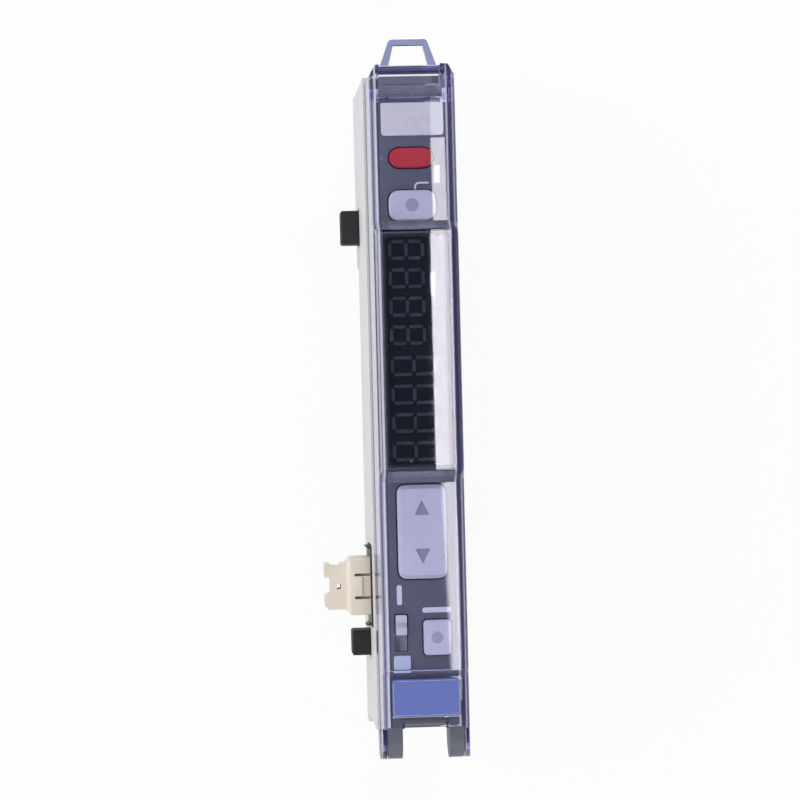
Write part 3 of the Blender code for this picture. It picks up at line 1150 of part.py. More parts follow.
def make_plug():
    inner = MAIN_BOARD_X - BOARD_THICKNESS / 2 - 3 * FIT_GAP
    block_x = -(HALF_CASE + PLUG_BLOCK_REACH)
    place = (PLUG_Y, PLUG_Z)
    edge = PLUG_BLOCK_EDGE
    block = rounded(place, PLUG_BLOCK, SLIDE_GAP)
    block_tip = rounded(place, grown(PLUG_BLOCK, -edge), SLIDE_GAP)
    levels = [(block_tip, block_x), (block, block_x + edge), (block, inner)]
    plug = new_object("expansion_plug", lofted(levels, "X"), "ivory_moulding")
    half_z = PLUG_TONGUE[1] / 2
    fuse(plug, "tongue", prism(tongue_outline(), "Z", PLUG_Z - half_z, PLUG_Z + half_z))
    window_x = block_x - PLUG_WINDOW_INSET + PLUG_WINDOW[0]
    cut(plug, "tongue_window", box((window_x, PLUG_Y - PLUG_WINDOW[1] / 2, PLUG_Z - half_z - PAST),
                                   (window_x + PLUG_WINDOW[0], PLUG_Y + PLUG_WINDOW[1] / 2,
                                    PLUG_Z + half_z + PAST)))
    top = PLUG_Z + PLUG_BLOCK[1] / 2
    slot_x = block_x + PLUG_SLOT_INSET
    slot_end = -HALF_CASE - SLIDE_GAP
    for side, name in ((-1, "lower"), (1, "upper")):
        y = PLUG_Y + side * PLUG_SLOT_SPACING / 2
        half = PLUG_SLOT / 2
        cut(plug, "slot_" + name, box((slot_x, y - half, top - PLUG_SLOT_DEPTH),
                                      (slot_end, y + half, top + PAST)))
    latch = (PLUG_SLOT_SPACING - PLUG_SLOT) / 2 - LABEL_GAP
    fuse(plug, "latch", box((slot_x, PLUG_Y - latch, top - SINK),
                            (slot_x + PLUG_LATCH_LENGTH, PLUG_Y + latch, top + PLUG_LATCH_RISE)))
    for i in range(PIN_COUNT):
        y = PLUG_Y + (i - (PIN_COUNT - 1) / 2) * PIN_PITCH
        bore = circle((y, PLUG_Z), CONTACT_RADIUS + PIN_CLEAR, 8)
        depth = inner - PLUG_BLOCK_REACH
        cut(plug, "pin_bore_%d" % (i + 1), prism(bore, "X", depth, inner + PAST))
        pin = circle((y, PLUG_Z), CONTACT_RADIUS, 8)
        end = MAIN_BOARD_X - BOARD_THICKNESS / 2 - FIT_GAP
        new_object("contact_pin_%d" % (i + 1), prism(pin, "X", depth + FIT_GAP, end), "brass_pin")


def make_surround():
    outer = -(HALF_CASE + SURROUND_PROUD)
    inner = -(CAVITY_HALF - FIT_GAP)
    place = (PLUG_Y, PLUG_Z)
    frame = rounded(place, SURROUND_SIZE, PEG_CORNER)
    flange_size = (SURROUND_SIZE[0] + 2 * LABEL_GAP, SURROUND_SIZE[1] + 2 * PEG_FLANGE)
    flange = rounded(place, flange_size, PEG_CORNER)
    levels = [(frame, outer), (frame, inner), (flange, inner), (flange, inner + PEG_FLANGE)]
    surround = new_object("plug_surround", lofted(levels, "X"), "black_moulding")
    hole = rounded(place, grown(PLUG_BLOCK, SLIDE_GAP), 2 * SLIDE_GAP)
    cut(surround, "plug_hole", prism(hole, "X", outer - PAST, inner + PEG_FLANGE + PAST))
    for side, name in ((-1, "low"), (1, "high")):
        end = PLUG_Y + side * (SURROUND_SIZE[0] / 2 - LABEL_GAP)
        root = end - side * SURROUND_HOOK
        wedge = [(outer + SINK, root), (outer + SINK, end), (outer - SURROUND_HOOK, end)]
        height = SURROUND_SIZE[1] / 4
        fuse(surround, "hook_" + name, prism(wedge, "Z", PLUG_Z - height, PLUG_Z + height))


def socket_corners():
    # The hollow that takes the next amplifier's plug.
    half_y = PLUG_BLOCK[0] / 2 + SLIDE_GAP
    half_z = PLUG_BLOCK[1] / 2 + SLIDE_GAP
    low_x = MAIN_BOARD_FACE + FIT_GAP + SOCKET_WALL
    return (low_x, PLUG_Y - half_y, PLUG_Z - half_z), (CAVITY_HALF - FIT_GAP, PLUG_Y + half_y,
                                                       PLUG_Z + half_z)


def make_socket():
    low, high = socket_corners()
    wall = SOCKET_WALL
    socket = new_object("expansion_socket", box((low[0] - wall, low[1] - wall, low[2] - wall),
                                                (high[0], high[1] + wall, high[2] + wall)),
                        "black_moulding")
    cut(socket, "hollow", box(low, (high[0] + PAST, high[1], high[2])))


def make_grommet():
    inner_face = CABLE_END_Y - CABLE_WALL
    profile = [(GROMMET_BORE, inner_face - GROMMET_RIM - SLIDE_GAP),
               (GROMMET_FLANGE, inner_face - GROMMET_RIM - SLIDE_GAP),
               (GROMMET_FLANGE, inner_face - SLIDE_GAP),
               (GROMMET_NECK, inner_face - SLIDE_GAP),
               (GROMMET_NECK, CABLE_END_Y + SLIDE_GAP),
               (GROMMET_FLANGE, CABLE_END_Y + SLIDE_GAP),
               (GROMMET_FLANGE - GROMMET_BEVEL, CABLE_END_Y + SLIDE_GAP + GROMMET_RIM),
               (GROMMET_BORE, CABLE_END_Y + SLIDE_GAP + GROMMET_RIM)]
    new_object("cable_grommet", turned(profile, (0.0, GROMMET_Z), "Y", 24), "black_rubber")


def main():
    clear_scene()
    make_rear_case()
    make_front_case()
    make_dust_cover()
    make_plates()
    make_press_keys()
    make_rocker()
    make_selector()
    make_lens()
    make_display()
    make_boards()
    make_switches()
    make_components()
    make_optical_parts()
    make_lever()
    make_peg("upper_side_peg", UPPER_PEG, UPPER_PEG_SIZE)
    make_peg("lower_side_peg", LOWER_PEG, LOWER_PEG_SIZE)
    make_plug()
    make_surround()
    make_socket()
    make_grommet()


main()
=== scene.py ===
import math

import bmesh
import bpy
from mathutils import Matrix, Vector


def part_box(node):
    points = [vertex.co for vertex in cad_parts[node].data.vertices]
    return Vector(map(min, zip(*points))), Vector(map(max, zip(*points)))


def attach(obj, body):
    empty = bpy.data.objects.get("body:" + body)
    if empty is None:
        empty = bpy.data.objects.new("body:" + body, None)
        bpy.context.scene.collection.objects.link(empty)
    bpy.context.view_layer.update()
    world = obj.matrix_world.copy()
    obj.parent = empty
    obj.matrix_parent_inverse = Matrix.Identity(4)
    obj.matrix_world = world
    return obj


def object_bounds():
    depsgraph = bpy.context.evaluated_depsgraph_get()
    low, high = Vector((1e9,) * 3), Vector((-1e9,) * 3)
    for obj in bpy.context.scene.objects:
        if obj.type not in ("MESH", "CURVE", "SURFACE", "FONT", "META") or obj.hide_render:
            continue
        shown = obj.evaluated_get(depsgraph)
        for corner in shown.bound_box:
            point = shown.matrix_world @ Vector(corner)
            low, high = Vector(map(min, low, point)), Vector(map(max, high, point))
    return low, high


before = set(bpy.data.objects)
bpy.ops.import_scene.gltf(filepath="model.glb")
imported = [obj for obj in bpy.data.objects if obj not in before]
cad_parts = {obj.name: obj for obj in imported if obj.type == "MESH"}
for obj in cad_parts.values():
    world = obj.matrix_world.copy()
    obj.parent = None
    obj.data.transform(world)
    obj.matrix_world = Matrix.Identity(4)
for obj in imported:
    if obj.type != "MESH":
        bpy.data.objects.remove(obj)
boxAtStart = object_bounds()
mm = 0.001
print("frame loaded:", len(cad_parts), "nodes")


# node helpers

def newMaterial(name):
    material = bpy.data.materials.new(name)
    material.use_nodes = True
    tree = material.node_tree
    return material, tree, tree.nodes["Principled BSDF"]


def axesOf(tree, vector):
    split = tree.nodes.new("ShaderNodeSeparateXYZ")
    tree.links.new(vector, split.inputs[0])
    return split.outputs


def placeOnPart(tree):
    # where a point lies on the real thing, in metres
    spot = tree.nodes.new("ShaderNodeTexCoord")
    return axesOf(tree, spot.outputs["Object"])


def grain(tree, scale, detail):
    # noise that keeps its size on the real thing: scale is in grains per metre
    spot = tree.nodes.new("ShaderNodeTexCoord")
    noise = tree.nodes.new("ShaderNodeTexNoise")
    noise.inputs["Scale"].default_value = scale
    noise.inputs["Detail"].default_value = detail
    tree.links.new(spot.outputs["Object"], noise.inputs["Vector"])
    return noise.outputs["Fac"]


def ramp(tree, source, stops):
    node = tree.nodes.new("ShaderNodeValToRGB")
    while len(node.color_ramp.elements) < len(stops):
        node.color_ramp.elements.new(0.5)
    for element, (place, shade) in zip(node.color_ramp.elements, stops):
        element.position = place
        element.color = (*shade, 1.0)
    tree.links.new(source, node.inputs["Fac"])
    return node.outputs["Color"]


def bump(tree, shader, source, depth, strength):
    node = tree.nodes.new("ShaderNodeBump")
    node.inputs["Distance"].default_value = depth
    node.inputs["Strength"].default_value = strength
    tree.links.new(source, node.inputs["Height"])
    tree.links.new(node.outputs["Normal"], shader.inputs["Normal"])


def spread(tree, source, low, high):
    # 0 becomes low and 1 becomes high
    node = tree.nodes.new("ShaderNodeMapRange")
    node.inputs["To Min"].default_value = low
    node.inputs["To Max"].default_value = high
    tree.links.new(source, node.inputs["Value"])
    return node.outputs["Result"]


def combined(tree, operation, sources):
    found = sources[0]
    for source in sources[1:]:
        node = tree.nodes.new("ShaderNodeMath")
        node.operation = operation
        tree.links.new(found, node.inputs[0])
        tree.links.new(source, node.inputs[1])
        found = node.outputs[0]
    return found


def largest(tree, *sources):
    return combined(tree, "MAXIMUM", sources)


def product(tree, *sources):
    return combined(tree, "MULTIPLY", sources)


def step(tree, source, none, full):
    # 0 at none, 1 at full, smooth between; full may be the lower of the two
    node = tree.nodes.new("ShaderNodeMapRange")
    node.interpolation_type = "SMOOTHSTEP"
    node.inputs["From Min"].default_value = none
    node.inputs["From Max"].default_value = full
    tree.links.new(source, node.inputs["Value"])
    return node.outputs["Result"]


def band(tree, source, low, high, blur):
    # 1 from low to high, 0 past them, soft over the blur; all three are in mm
    low, high, blur = low * mm, high * mm, blur * mm
    return product(tree, step(tree, source, low - blur, low + blur),
                   step(tree, source, high + blur, high - blur))


def tinted(tree, factor, under, shade):
    # multiplies the colour under it by a shade where the factor says
    node = tree.nodes.new("ShaderNodeMix")
    node.data_type = "RGBA"
    node.blend_type = "MULTIPLY"
    tree.links.new(factor, node.inputs["Factor"])
    tree.links.new(under, node.inputs["A"])
    node.inputs["B"].default_value = (*shade, 1.0)
    return node.outputs["Result"]


def mixedShader(tree, factor, first, second):
    # the first shader where the factor is 0, the second where it is 1
    node = tree.nodes.new("ShaderNodeMixShader")
    tree.links.new(factor, node.inputs[0])
    tree.links.new(first, node.inputs[1])
    tree.links.new(second, node.inputs[2])
    return node


# camera and light

cameraSetup = {
    "place": (-20.5 * mm, 1.5 * mm, 315.7 * mm),
    "lookAt": (-2.2 * mm, 1.5 * mm, 25.7 * mm),
    "lens": 125.3,
    "filmWidth": 36.0,
    "lean": math.radians(1.4),      # the amplifier leans a little to the left at its top
    "nearest": 0.01,
    "furthest": 10.0,
}


def makeCamera(setup):
    data = bpy.data.cameras.new("photoCamera")
    data.lens = setup["lens"]
    data.sensor_width = setup["filmWidth"]
    data.clip_start = setup["nearest"]
    data.clip_end = setup["furthest"]
    camera = bpy.data.objects.new("photoCamera", data)
    place = Vector(setup["place"])
    back = (place - Vector(setup["lookAt"])).normalized()
    up = Vector((math.sin(setup["lean"]), math.cos(setup["lean"]), 0.0))
    right = up.cross(back).normalized()
    up = back.cross(right)
    turn = Matrix((right, up, back)).transposed()
    camera.matrix_world = Matrix.Translation(place) @ turn.to_4x4()
    bpy.context.collection.objects.link(camera)
    bpy.context.scene.camera = camera


def newAreaLight(name, width, length, watts):
    data = bpy.data.lights.new(name, "AREA")
    data.shape = "RECTANGLE"
    data.size = width
    data.size_y = length
    data.energy = watts
    lamp = bpy.data.objects.new(name, data)
    bpy.context.collection.objects.link(lamp)
    return lamp


lampSetup = {
    "leftHigh": {"place": (-0.42, 0.05, 0.40), "size": (0.40, 0.55), "watts": 1.95},
    "rightLow": {"place": (0.56, 0.0, 0.16), "size": (0.30, 0.55), "watts": 1.2},
    "cableWall": {"place": (0.05, 0.50, 0.36), "size": (0.45, 0.35), "watts": 1.0},
    "fibreWall": {"place": (0.05, -0.50, 0.36), "size": (0.45, 0.35), "watts": 1.0},
}
lampAim = Vector((0.0, 0.0, 0.01))


def makeLamps():
    for name, setup in lampSetup.items():
        lamp = newAreaLight(name, *setup["size"], setup["watts"])
        lamp.location = setup["place"]
        lamp.rotation_euler = (lamp.location - lampAim).to_track_quat("Z", "Y").to_euler()


# bright gaps in the tent beside the camera, each for one stretch of the cover that mirrors it;
# along and across are in mm, lean in degrees, and soft is the share of the width that fades in
gapSetup = {
    "gapPlate": {"along": (57, 70), "across": (24.0, 26.9), "radiance": 3.0, "lean": 0.4, "soft": 0.10},
    "gapCable": {"along": (39, 56.5), "across": (24.0, 27.1), "radiance": 9.4, "lean": 0.4, "soft": 0.10},
    "gapMiddle": {"along": (-14.5, 38), "across": (23.3, 26.2), "radiance": 10.4, "lean": 0.0, "soft": 0.0},
    "gapEdge": {"along": (-14.5, 38), "across": (26.2, 27.6), "radiance": 8.2, "lean": 0.0, "soft": 0.0},
    "gapFibre": {"along": (-62, -16), "across": (24.7, 28.2), "radiance": 9.4, "lean": 1.6, "soft": 0.40},
    "gapScoop": {"along": (92, 140), "across": (-20, 26), "radiance": 2.0, "lean": 0.0, "soft": 0.0},
}
gapHeight = 315 * mm
gapTint = (1.0, 0.96, 0.93)


def softenGap(data, share):
    data.use_nodes = True
    nodes, links = data.node_tree.nodes, data.node_tree.links
    spot = nodes.new("ShaderNodeNewGeometry")
    fade = step(data.node_tree, axesOf(data.node_tree, spot.outputs["Parametric"])["X"], 0.0, share)
    links.new(fade, nodes["Emission"].inputs["Strength"])


def makeGaps():
    for name, setup in gapSetup.items():
        low, high = [end * mm for end in setup["along"]]
        near, far = [edge * mm for edge in setup["across"]]
        watts = setup["radiance"] * math.pi * (far - near) * (high - low)
        gap = newAreaLight(name, far - near, high - low, watts)
        gap.data.color = gapTint
        if setup["soft"] > 0:
            softenGap(gap.data, setup["soft"])
        gap.location = ((near + far) / 2, (low + high) / 2, gapHeight)
        gap.rotation_euler.z = math.radians(setup["lean"])


# bright walls and a darker roof; heights are of the direction looked in, 0 level and 1 straight up
tentSetup = {
    "tint": (0.97, 0.98, 1.0),
    "walls": 0.50, "wallsUpTo": 0.45,
    "roof": 0.12, "roofFrom": 0.95,
    "plain": (1.0, 1.0, 1.0),
    "plainBelow": 0.25, "plainGoneAt": 0.45,
}


def makeWorld(setup):
    world = bpy.data.worlds.new("tent")
    world.use_nodes = True
    tree = world.node_tree
    nodes, links = tree.nodes, tree.links
    height = axesOf(tree, nodes.new("ShaderNodeTexCoord").outputs["Generated"])["Z"]
    tent = nodes["Background"]
    tent.inputs["Color"].default_value = (*setup["tint"], 1.0)
    fall = nodes.new("ShaderNodeMapRange")
    fall.inputs["From Min"].default_value = setup["wallsUpTo"]
    fall.inputs["From Max"].default_value = setup["roofFrom"]
    fall.inputs["To Min"].default_value = setup["walls"]
    fall.inputs["To Max"].default_value = setup["roof"]
    links.new(height, fall.inputs["Value"])
    links.new(fall.outputs["Result"], tent.inputs["Strength"])
    plain = nodes.new("ShaderNodeBackground")
    plain.inputs["Color"].default_value = (*setup["plain"], 1.0)
    plain.inputs["Strength"].default_value = 1.0
    # the camera sees the plain white, and so do rays through clear plastic in low directions
    rays = nodes.new("ShaderNodeLightPath")
    low = step(tree, height, setup["plainGoneAt"], setup["plainBelow"])
    seen = largest(tree, rays.outputs["Is Camera Ray"],
                   product(tree, rays.outputs["Is Transmission Ray"], low))
    pick = mixedShader(tree, seen, tent.outputs[0], plain.outputs[0])
    links.new(pick.outputs[0], nodes["World Output"].inputs["Surface"])
    bpy.context.scene.world = world


floorSetup = {
    "halfSize": 1.5, "under": 0.1 * mm,
    "shade": (0.86, 0.86, 0.87), "rough": 0.9,
    "whiteShare": 0.9,      # how much of what is seen of it is plain white, the rest keeps shadows
}


def makeStage(setup):
    bm = bmesh.new()
    bmesh.ops.create_grid(bm, x_segments=1, y_segments=1, size=setup["halfSize"])
    mesh = bpy.data.meshes.new("floor")
    bm.to_mesh(mesh)
    bm.free()
    floor = bpy.data.objects.new("floor", mesh)
    floor.location.z = boxAtStart[0].z - setup["under"]
    bpy.context.collection.objects.link(floor)
    material, tree, shader = newMaterial("paleFloor")
    shader.inputs["Base Color"].default_value = (*setup["shade"], 1.0)
    shader.inputs["Roughness"].default_value = setup["rough"]
    glow = tree.nodes.new("ShaderNodeEmission")
    glow.inputs["Strength"].default_value = 1.0
    rays = tree.nodes.new("ShaderNodeLightPath")
    seen = largest(tree, rays.outputs["Is Camera Ray"], rays.outputs["Is Glossy Ray"],
                   rays.outputs["Is Transmission Ray"])
    pick = mixedShader(tree, spread(tree, seen, 0.0, setup["whiteShare"]),
                       shader.outputs[0], glow.outputs[0])
    tree.links.new(pick.outputs[0], tree.nodes["Material Output"].inputs["Surface"])
    mesh.materials.append(material)


# kinds of finish

mouldedSkin = {
    "driftScale": 160, "driftDetail": 4.0, "wornUpTo": 0.35, "cleanFrom": 0.65,
    "roughSwing": 0.07,
    "grainDetail": 2.0, "grainStrength": 0.35,
}


# shade, worn shade, roughness, grains per metre and depth of the grain in mm
mouldings = {
    "whiteCase": ((0.675, 0.67, 0.68), (0.645, 0.64, 0.65), 0.52, 5200, 0.03),
    "greyPanel": ((0.122, 0.130, 0.162), (0.104, 0.112, 0.142), 0.5, 5200, 0.03),
    "keyGrey": ((0.70, 0.70, 0.73), (0.65, 0.65, 0.68), 0.48, 6500, 0.02),
    "ribGrey": ((0.68, 0.68, 0.73), (0.62, 0.62, 0.67), 0.45, 5200, 0.03),
    # painted shade for the floors of the key dimples
    "dimpleGrey": ((0.47, 0.47, 0.50), (0.42, 0.42, 0.45), 0.5, 5200, 0.03),
    "arrowGrey": ((0.34, 0.34, 0.42), (0.30, 0.30, 0.37), 0.55, 5200, 0.03),
    "ivoryPlug": ((0.83, 0.76, 0.66), (0.77, 0.68, 0.57), 0.46, 4500, 0.02),
    "blackMoulding": ((0.022, 0.024, 0.024), (0.016, 0.017, 0.017), 0.5, 5200, 0.03),
    "blackRubber": ((0.013, 0.015, 0.018), (0.009, 0.010, 0.013), 0.75, 5200, 0.03),
    "redLens": ((0.66, 0.03, 0.05), (0.48, 0.02, 0.04), 0.3, 2200, 0.02),
    "boardGreen": ((0.03, 0.19, 0.08), (0.02, 0.13, 0.06), 0.35, 3000, 0.03),
    "diodeClear": ((0.66, 0.68, 0.72), (0.58, 0.60, 0.64), 0.2, 3000, 0.03),
}


def mouldedPlastic(name, shade, worn, rough, grainScale, depth):
    # moulded skin: fine spark grain, and a slow drift between two close shades
    material, tree, shader = newMaterial(name)
    fine = grain(tree, grainScale, mouldedSkin["grainDetail"])
    slow = grain(tree, mouldedSkin["driftScale"], mouldedSkin["driftDetail"])
    stops = [(mouldedSkin["wornUpTo"], worn), (mouldedSkin["cleanFrom"], shade)]
    swing = mouldedSkin["roughSwing"]
    tree.links.new(ramp(tree, slow, stops), shader.inputs["Base Color"])
    tree.links.new(spread(tree, slow, rough - swing, rough + swing), shader.inputs["Roughness"])
    bump(tree, shader, fine, depth * mm, mouldedSkin["grainStrength"])
    return material


drawnMetal = {
    "lineScale": 2600, "lineDetail": 4.0, "darkUpTo": 0.3, "lightFrom": 0.7, "darkShare": 0.86,
    "smoother": 0.05, "rougher": 0.08,
}
# shade and roughness
metals = {
    "brightSteel": ((0.62, 0.62, 0.63), 0.3),
    "brassPin": ((0.78, 0.60, 0.27), 0.25),
}


def metalFinish(name, shade, rough):
    material, tree, shader = newMaterial(name)
    lines = grain(tree, drawnMetal["lineScale"], drawnMetal["lineDetail"])
    dark = tuple(drawnMetal["darkShare"] * part for part in shade)
    stops = [(drawnMetal["darkUpTo"], dark), (drawnMetal["lightFrom"], shade)]
    roughness = spread(tree, lines, rough - drawnMetal["smoother"], rough + drawnMetal["rougher"])
    shader.inputs["Metallic"].default_value = 1.0
    tree.links.new(ramp(tree, lines, stops), shader.inputs["Base Color"])
    tree.links.new(roughness, shader.inputs["Roughness"])
    return material


inkFilm = {
    "mottleScale": 1500, "mottleDetail": 3.0, "deepUpTo": 0.3, "lightFrom": 0.7,
    "depth": 0.008 * mm, "strength": 0.2,
}
# shade, deeper shade and roughness
films = {
    "bluePlate": ((0.135, 0.180, 0.49), (0.120, 0.162, 0.45), 0.32),
    "plateRim": ((0.42, 0.46, 0.72), (0.36, 0.40, 0.66), 0.4),
    "palePlate": ((0.80, 0.78, 0.72), (0.74, 0.72, 0.66), 0.35),
    "markPlate": ((0.66, 0.72, 0.86), (0.60, 0.66, 0.80), 0.35),
    "printedWhite": ((0.80, 0.80, 0.86), (0.72, 0.72, 0.79), 0.4),
}


def printedFilm(name, shade, deep, rough):
    # printed film or paint, a little mottled
    material, tree, shader = newMaterial(name)
    mottle = grain(tree, inkFilm["mottleScale"], inkFilm["mottleDetail"])
    stops = [(inkFilm["deepUpTo"], deep), (inkFilm["lightFrom"], shade)]
    tree.links.new(ramp(tree, mottle, stops), shader.inputs["Base Color"])
    shader.inputs["Roughness"].default_value = rough
    bump(tree, shader, mottle, inkFilm["depth"], inkFilm["strength"])
    return material


clearMoulding = {
    "hazeScale": 420, "hazeDetail": 5.0,
    "waveScale": 60, "waveDetail": 1.0, "waveDepth": 0.01 * mm, "waveStrength": 0.1,
}


def tintedClear(name, setup):
    # clear skin round a dyed body: the longer the way through it, the deeper the tint
    material, tree, shader = newMaterial(name)
    nodes, links = tree.nodes, tree.links
    shader.inputs["Transmission Weight"].default_value = 1.0
    shader.inputs["IOR"].default_value = setup["bend"]
    shader.inputs["Base Color"].default_value = (*setup["skin"], 1.0)
    haze = grain(tree, clearMoulding["hazeScale"], clearMoulding["hazeDetail"])
    links.new(spread(tree, haze, setup["roughLow"], setup["roughHigh"]), shader.inputs["Roughness"])
    # shadows and diffuse light pass straight through
    clear = nodes.new("ShaderNodeBsdfTransparent")
    clear.inputs["Color"].default_value = (*setup["through"], 1.0)
    rays = nodes.new("ShaderNodeLightPath")
    straight = largest(tree, rays.outputs["Is Shadow Ray"], rays.outputs["Is Diffuse Ray"])
    pick = mixedShader(tree, straight, shader.outputs[0], clear.outputs[0])
    links.new(pick.outputs[0], nodes["Material Output"].inputs["Surface"])
    dye = nodes.new("ShaderNodeVolumeAbsorption")
    dye.inputs["Color"].default_value = (*setup["dye"], 1.0)
    dye.inputs["Density"].default_value = setup["dyeStrength"]
    links.new(dye.outputs[0], nodes["Material Output"].inputs["Volume"])
    wave = grain(tree, clearMoulding["waveScale"], clearMoulding["waveDetail"])
    bump(tree, shader, wave, clearMoulding["waveDepth"], clearMoulding["waveStrength"])
    return material, tree, shader, pick


coverTint = {
    "bend": 1.45, "skin": (0.97, 0.97, 1.0), "through": (0.96, 0.96, 0.99),
    "roughLow": 0.002, "roughHigh": 0.012,
    "dye": (0.40, 0.42, 0.88), "dyeStrength": 215.0,
    # painted shade by how far a face looks to the right: 0 is not at all, 1 is straight to the right
    "rightFacingShade": [(0.0, (0.99, 0.99, 1.0)), (0.20, (0.80, 0.79, 0.94)),
                  (0.52, (0.35, 0.34, 0.60)), (1.0, (0.50, 0.48, 0.75))],
    # painted shade, a deeper tint over these spans along the cover (mm): loop tab, its root, the scoop's
    # head and the hinge arms
    "paintedShadeStretches": [(36.85, 40.0, (0.33, 0.35, 0.54)), (35.9, 36.75, (0.15, 0.14, 0.22)),
                  (32.95, 33.75, (0.50, 0.49, 0.58)),
                  (-38.0, -33.25, (0.42, 0.38, 0.58))],
    # which faces count as top and as left wall, the raised stretch (mm high), and the middle (mm)
    "facesUp": (0.12, 0.2), "facesLeft": (-0.97, -0.985),
    "raised": (24.6, 25.0), "middle": (-3.6, 3.6),
    "stretchBlur": 0.04, "middleBlur": 0.05, "topBlur": 0.04, "acrossBlur": 0.03, "wallBlur": 0.12,
    "lineRough": 0.6, "lineShine": 0.05,
}
# lines on the top (mm across, share on the raised stretch, share on the low ones), across the cover
# by the type plate (mm along, share) and on the left wall (mm high, share)
# painted shade: dark lines on the cover's top, across it and on its left wall
paintedShadeLines = {
    "shade": (0.035, 0.034, 0.088),
    "top": [(-4.36, -4.20, 0.0, 0.7), (-4.20, -4.10, 0.7, 0.35), (-3.80, -3.62, 0.45, 0.3),
            (3.66, 4.04, 0.92, 0.4), (4.04, 4.3, 0.65, 0.25)],
    "across": [(-27.95, -27.2, 0.35)],
    "wall": [(24.0, 25.3, 0.9), (18.9, 20.2, 0.5)],
}
# painted highlights: pale lines on the cover's top, across it and on its left wall; the real dust specks
# also take this shade
paintedHighlightLines = {
    "shade": (0.78, 0.77, 0.90),
    "top": [(-4.36, -4.20, 0.4, 0.0), (-4.06, -3.86, 0.55, 0.6), (3.46, 3.64, 0.15, 0.35),
            (4.12, 4.26, 0.0, 0.3)],
    "across": [(-31.98, -31.84, 0.5), (-33.2, -33.07, 0.6)],
    "wall": [(20.9, 23.0, 0.3)],
}
speckSetup = {"scale": 900.0, "rare": 0.91, "rareBlur": 0.02, "size": 0.11, "core": 0.5, "share": 0.5}


def dustSpecks(tree, setup):
    # sparse specks: only some of the cells hold one, each a small round spot
    spot = tree.nodes.new("ShaderNodeTexCoord")
    cells = tree.nodes.new("ShaderNodeTexVoronoi")
    cells.inputs["Scale"].default_value = setup["scale"]
    tree.links.new(spot.outputs["Object"], cells.inputs["Vector"])
    chosen = tree.nodes.new("ShaderNodeSeparateColor")
    tree.links.new(cells.outputs["Color"], chosen.inputs[0])
    few = step(tree, chosen.outputs[0], setup["rare"], setup["rare"] + setup["rareBlur"])
    near = step(tree, cells.outputs["Distance"], setup["size"], setup["size"] * setup["core"])
    return spread(tree, product(tree, few, near), 0.0, setup["share"])


def dyedCover(name, setup):
    # painted shade on faces that look to the right, where the moulding is seen edge-on, and over some spans
    # along it, with fine lines of painted shade and painted highlight along its edges
    material, tree, shader, pick = tintedClear(name, setup)
    nodes, links = tree.nodes, tree.links
    way = axesOf(tree, nodes.new("ShaderNodeNewGeometry").outputs["Normal"])
    place = placeOnPart(tree)
    # painted shade: a deeper tint where faces look right and over the given spans
    paintedShadeTint = ramp(tree, way["X"], setup["rightFacingShade"])
    for low, high, shade in setup["paintedShadeStretches"]:
        where = band(tree, place["Y"], low, high, setup["stretchBlur"])
        paintedShadeTint = tinted(tree, where, paintedShadeTint, shade)
    links.new(paintedShadeTint, shader.inputs["Base Color"])
    onTop = step(tree, way["Z"], *setup["facesUp"])
    onWall = step(tree, way["X"], *setup["facesLeft"])
    raised = step(tree, place["Z"], *[height * mm for height in setup["raised"]])
    middle = band(tree, place["X"], *setup["middle"], setup["middleBlur"])
    result = shader.outputs[0]
    for lines in (paintedShadeLines, paintedHighlightLines):
        masks = []
        for low, high, share, lowShare in lines["top"]:
            line = band(tree, place["X"], low, high, setup["topBlur"])
            masks.append(product(tree, onTop, line, spread(tree, raised, lowShare, share)))
        for low, high, share in lines["across"]:
            line = band(tree, place["Y"], low, high, setup["acrossBlur"])
            masks.append(product(tree, onTop, line, spread(tree, middle, 0.0, share)))
        for low, high, share in lines["wall"]:
            line = band(tree, place["Z"], low, high, setup["wallBlur"])
            masks.append(spread(tree, product(tree, onWall, line), 0.0, share))
        # real dust specks share the shader of the painted highlights
        if lines is paintedHighlightLines:
            masks.append(dustSpecks(tree, speckSetup))
        # the shader of painted shade or painted highlight for these lines
        skin = nodes.new("ShaderNodeBsdfPrincipled")
        skin.inputs["Base Color"].default_value = (*lines["shade"], 1.0)
        skin.inputs["Roughness"].default_value = setup["lineRough"]
        skin.inputs["Specular IOR Level"].default_value = setup["lineShine"]
        result = mixedShader(tree, largest(tree, *masks), result, skin.outputs[0]).outputs[0]
    links.new(result, pick.inputs[1])
    return material


windowTint = {
    "bend": 1.35, "skin": (0.9, 0.9, 0.93), "through": (0.85, 0.85, 0.88),
    "roughLow": 0.01, "roughHigh": 0.03,
    "dye": (0.30, 0.32, 0.42), "dyeStrength": 900.0,
}

displaySetup = {
    "barHeight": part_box("display_module")[1].z - 0.06 * mm,     # only the raised bars reach past it
    "barDark": (0.14, 0.15, 0.17), "barLight": (0.23, 0.24, 0.26),
    "faceDark": (0.007, 0.012, 0.026), "faceLight": (0.011, 0.017, 0.034),
    "cloudScale": 900, "cloudDetail": 3.0, "darkUpTo": 0.3, "lightFrom": 0.7,
    "rough": 0.4, "shine": 0.12,
}


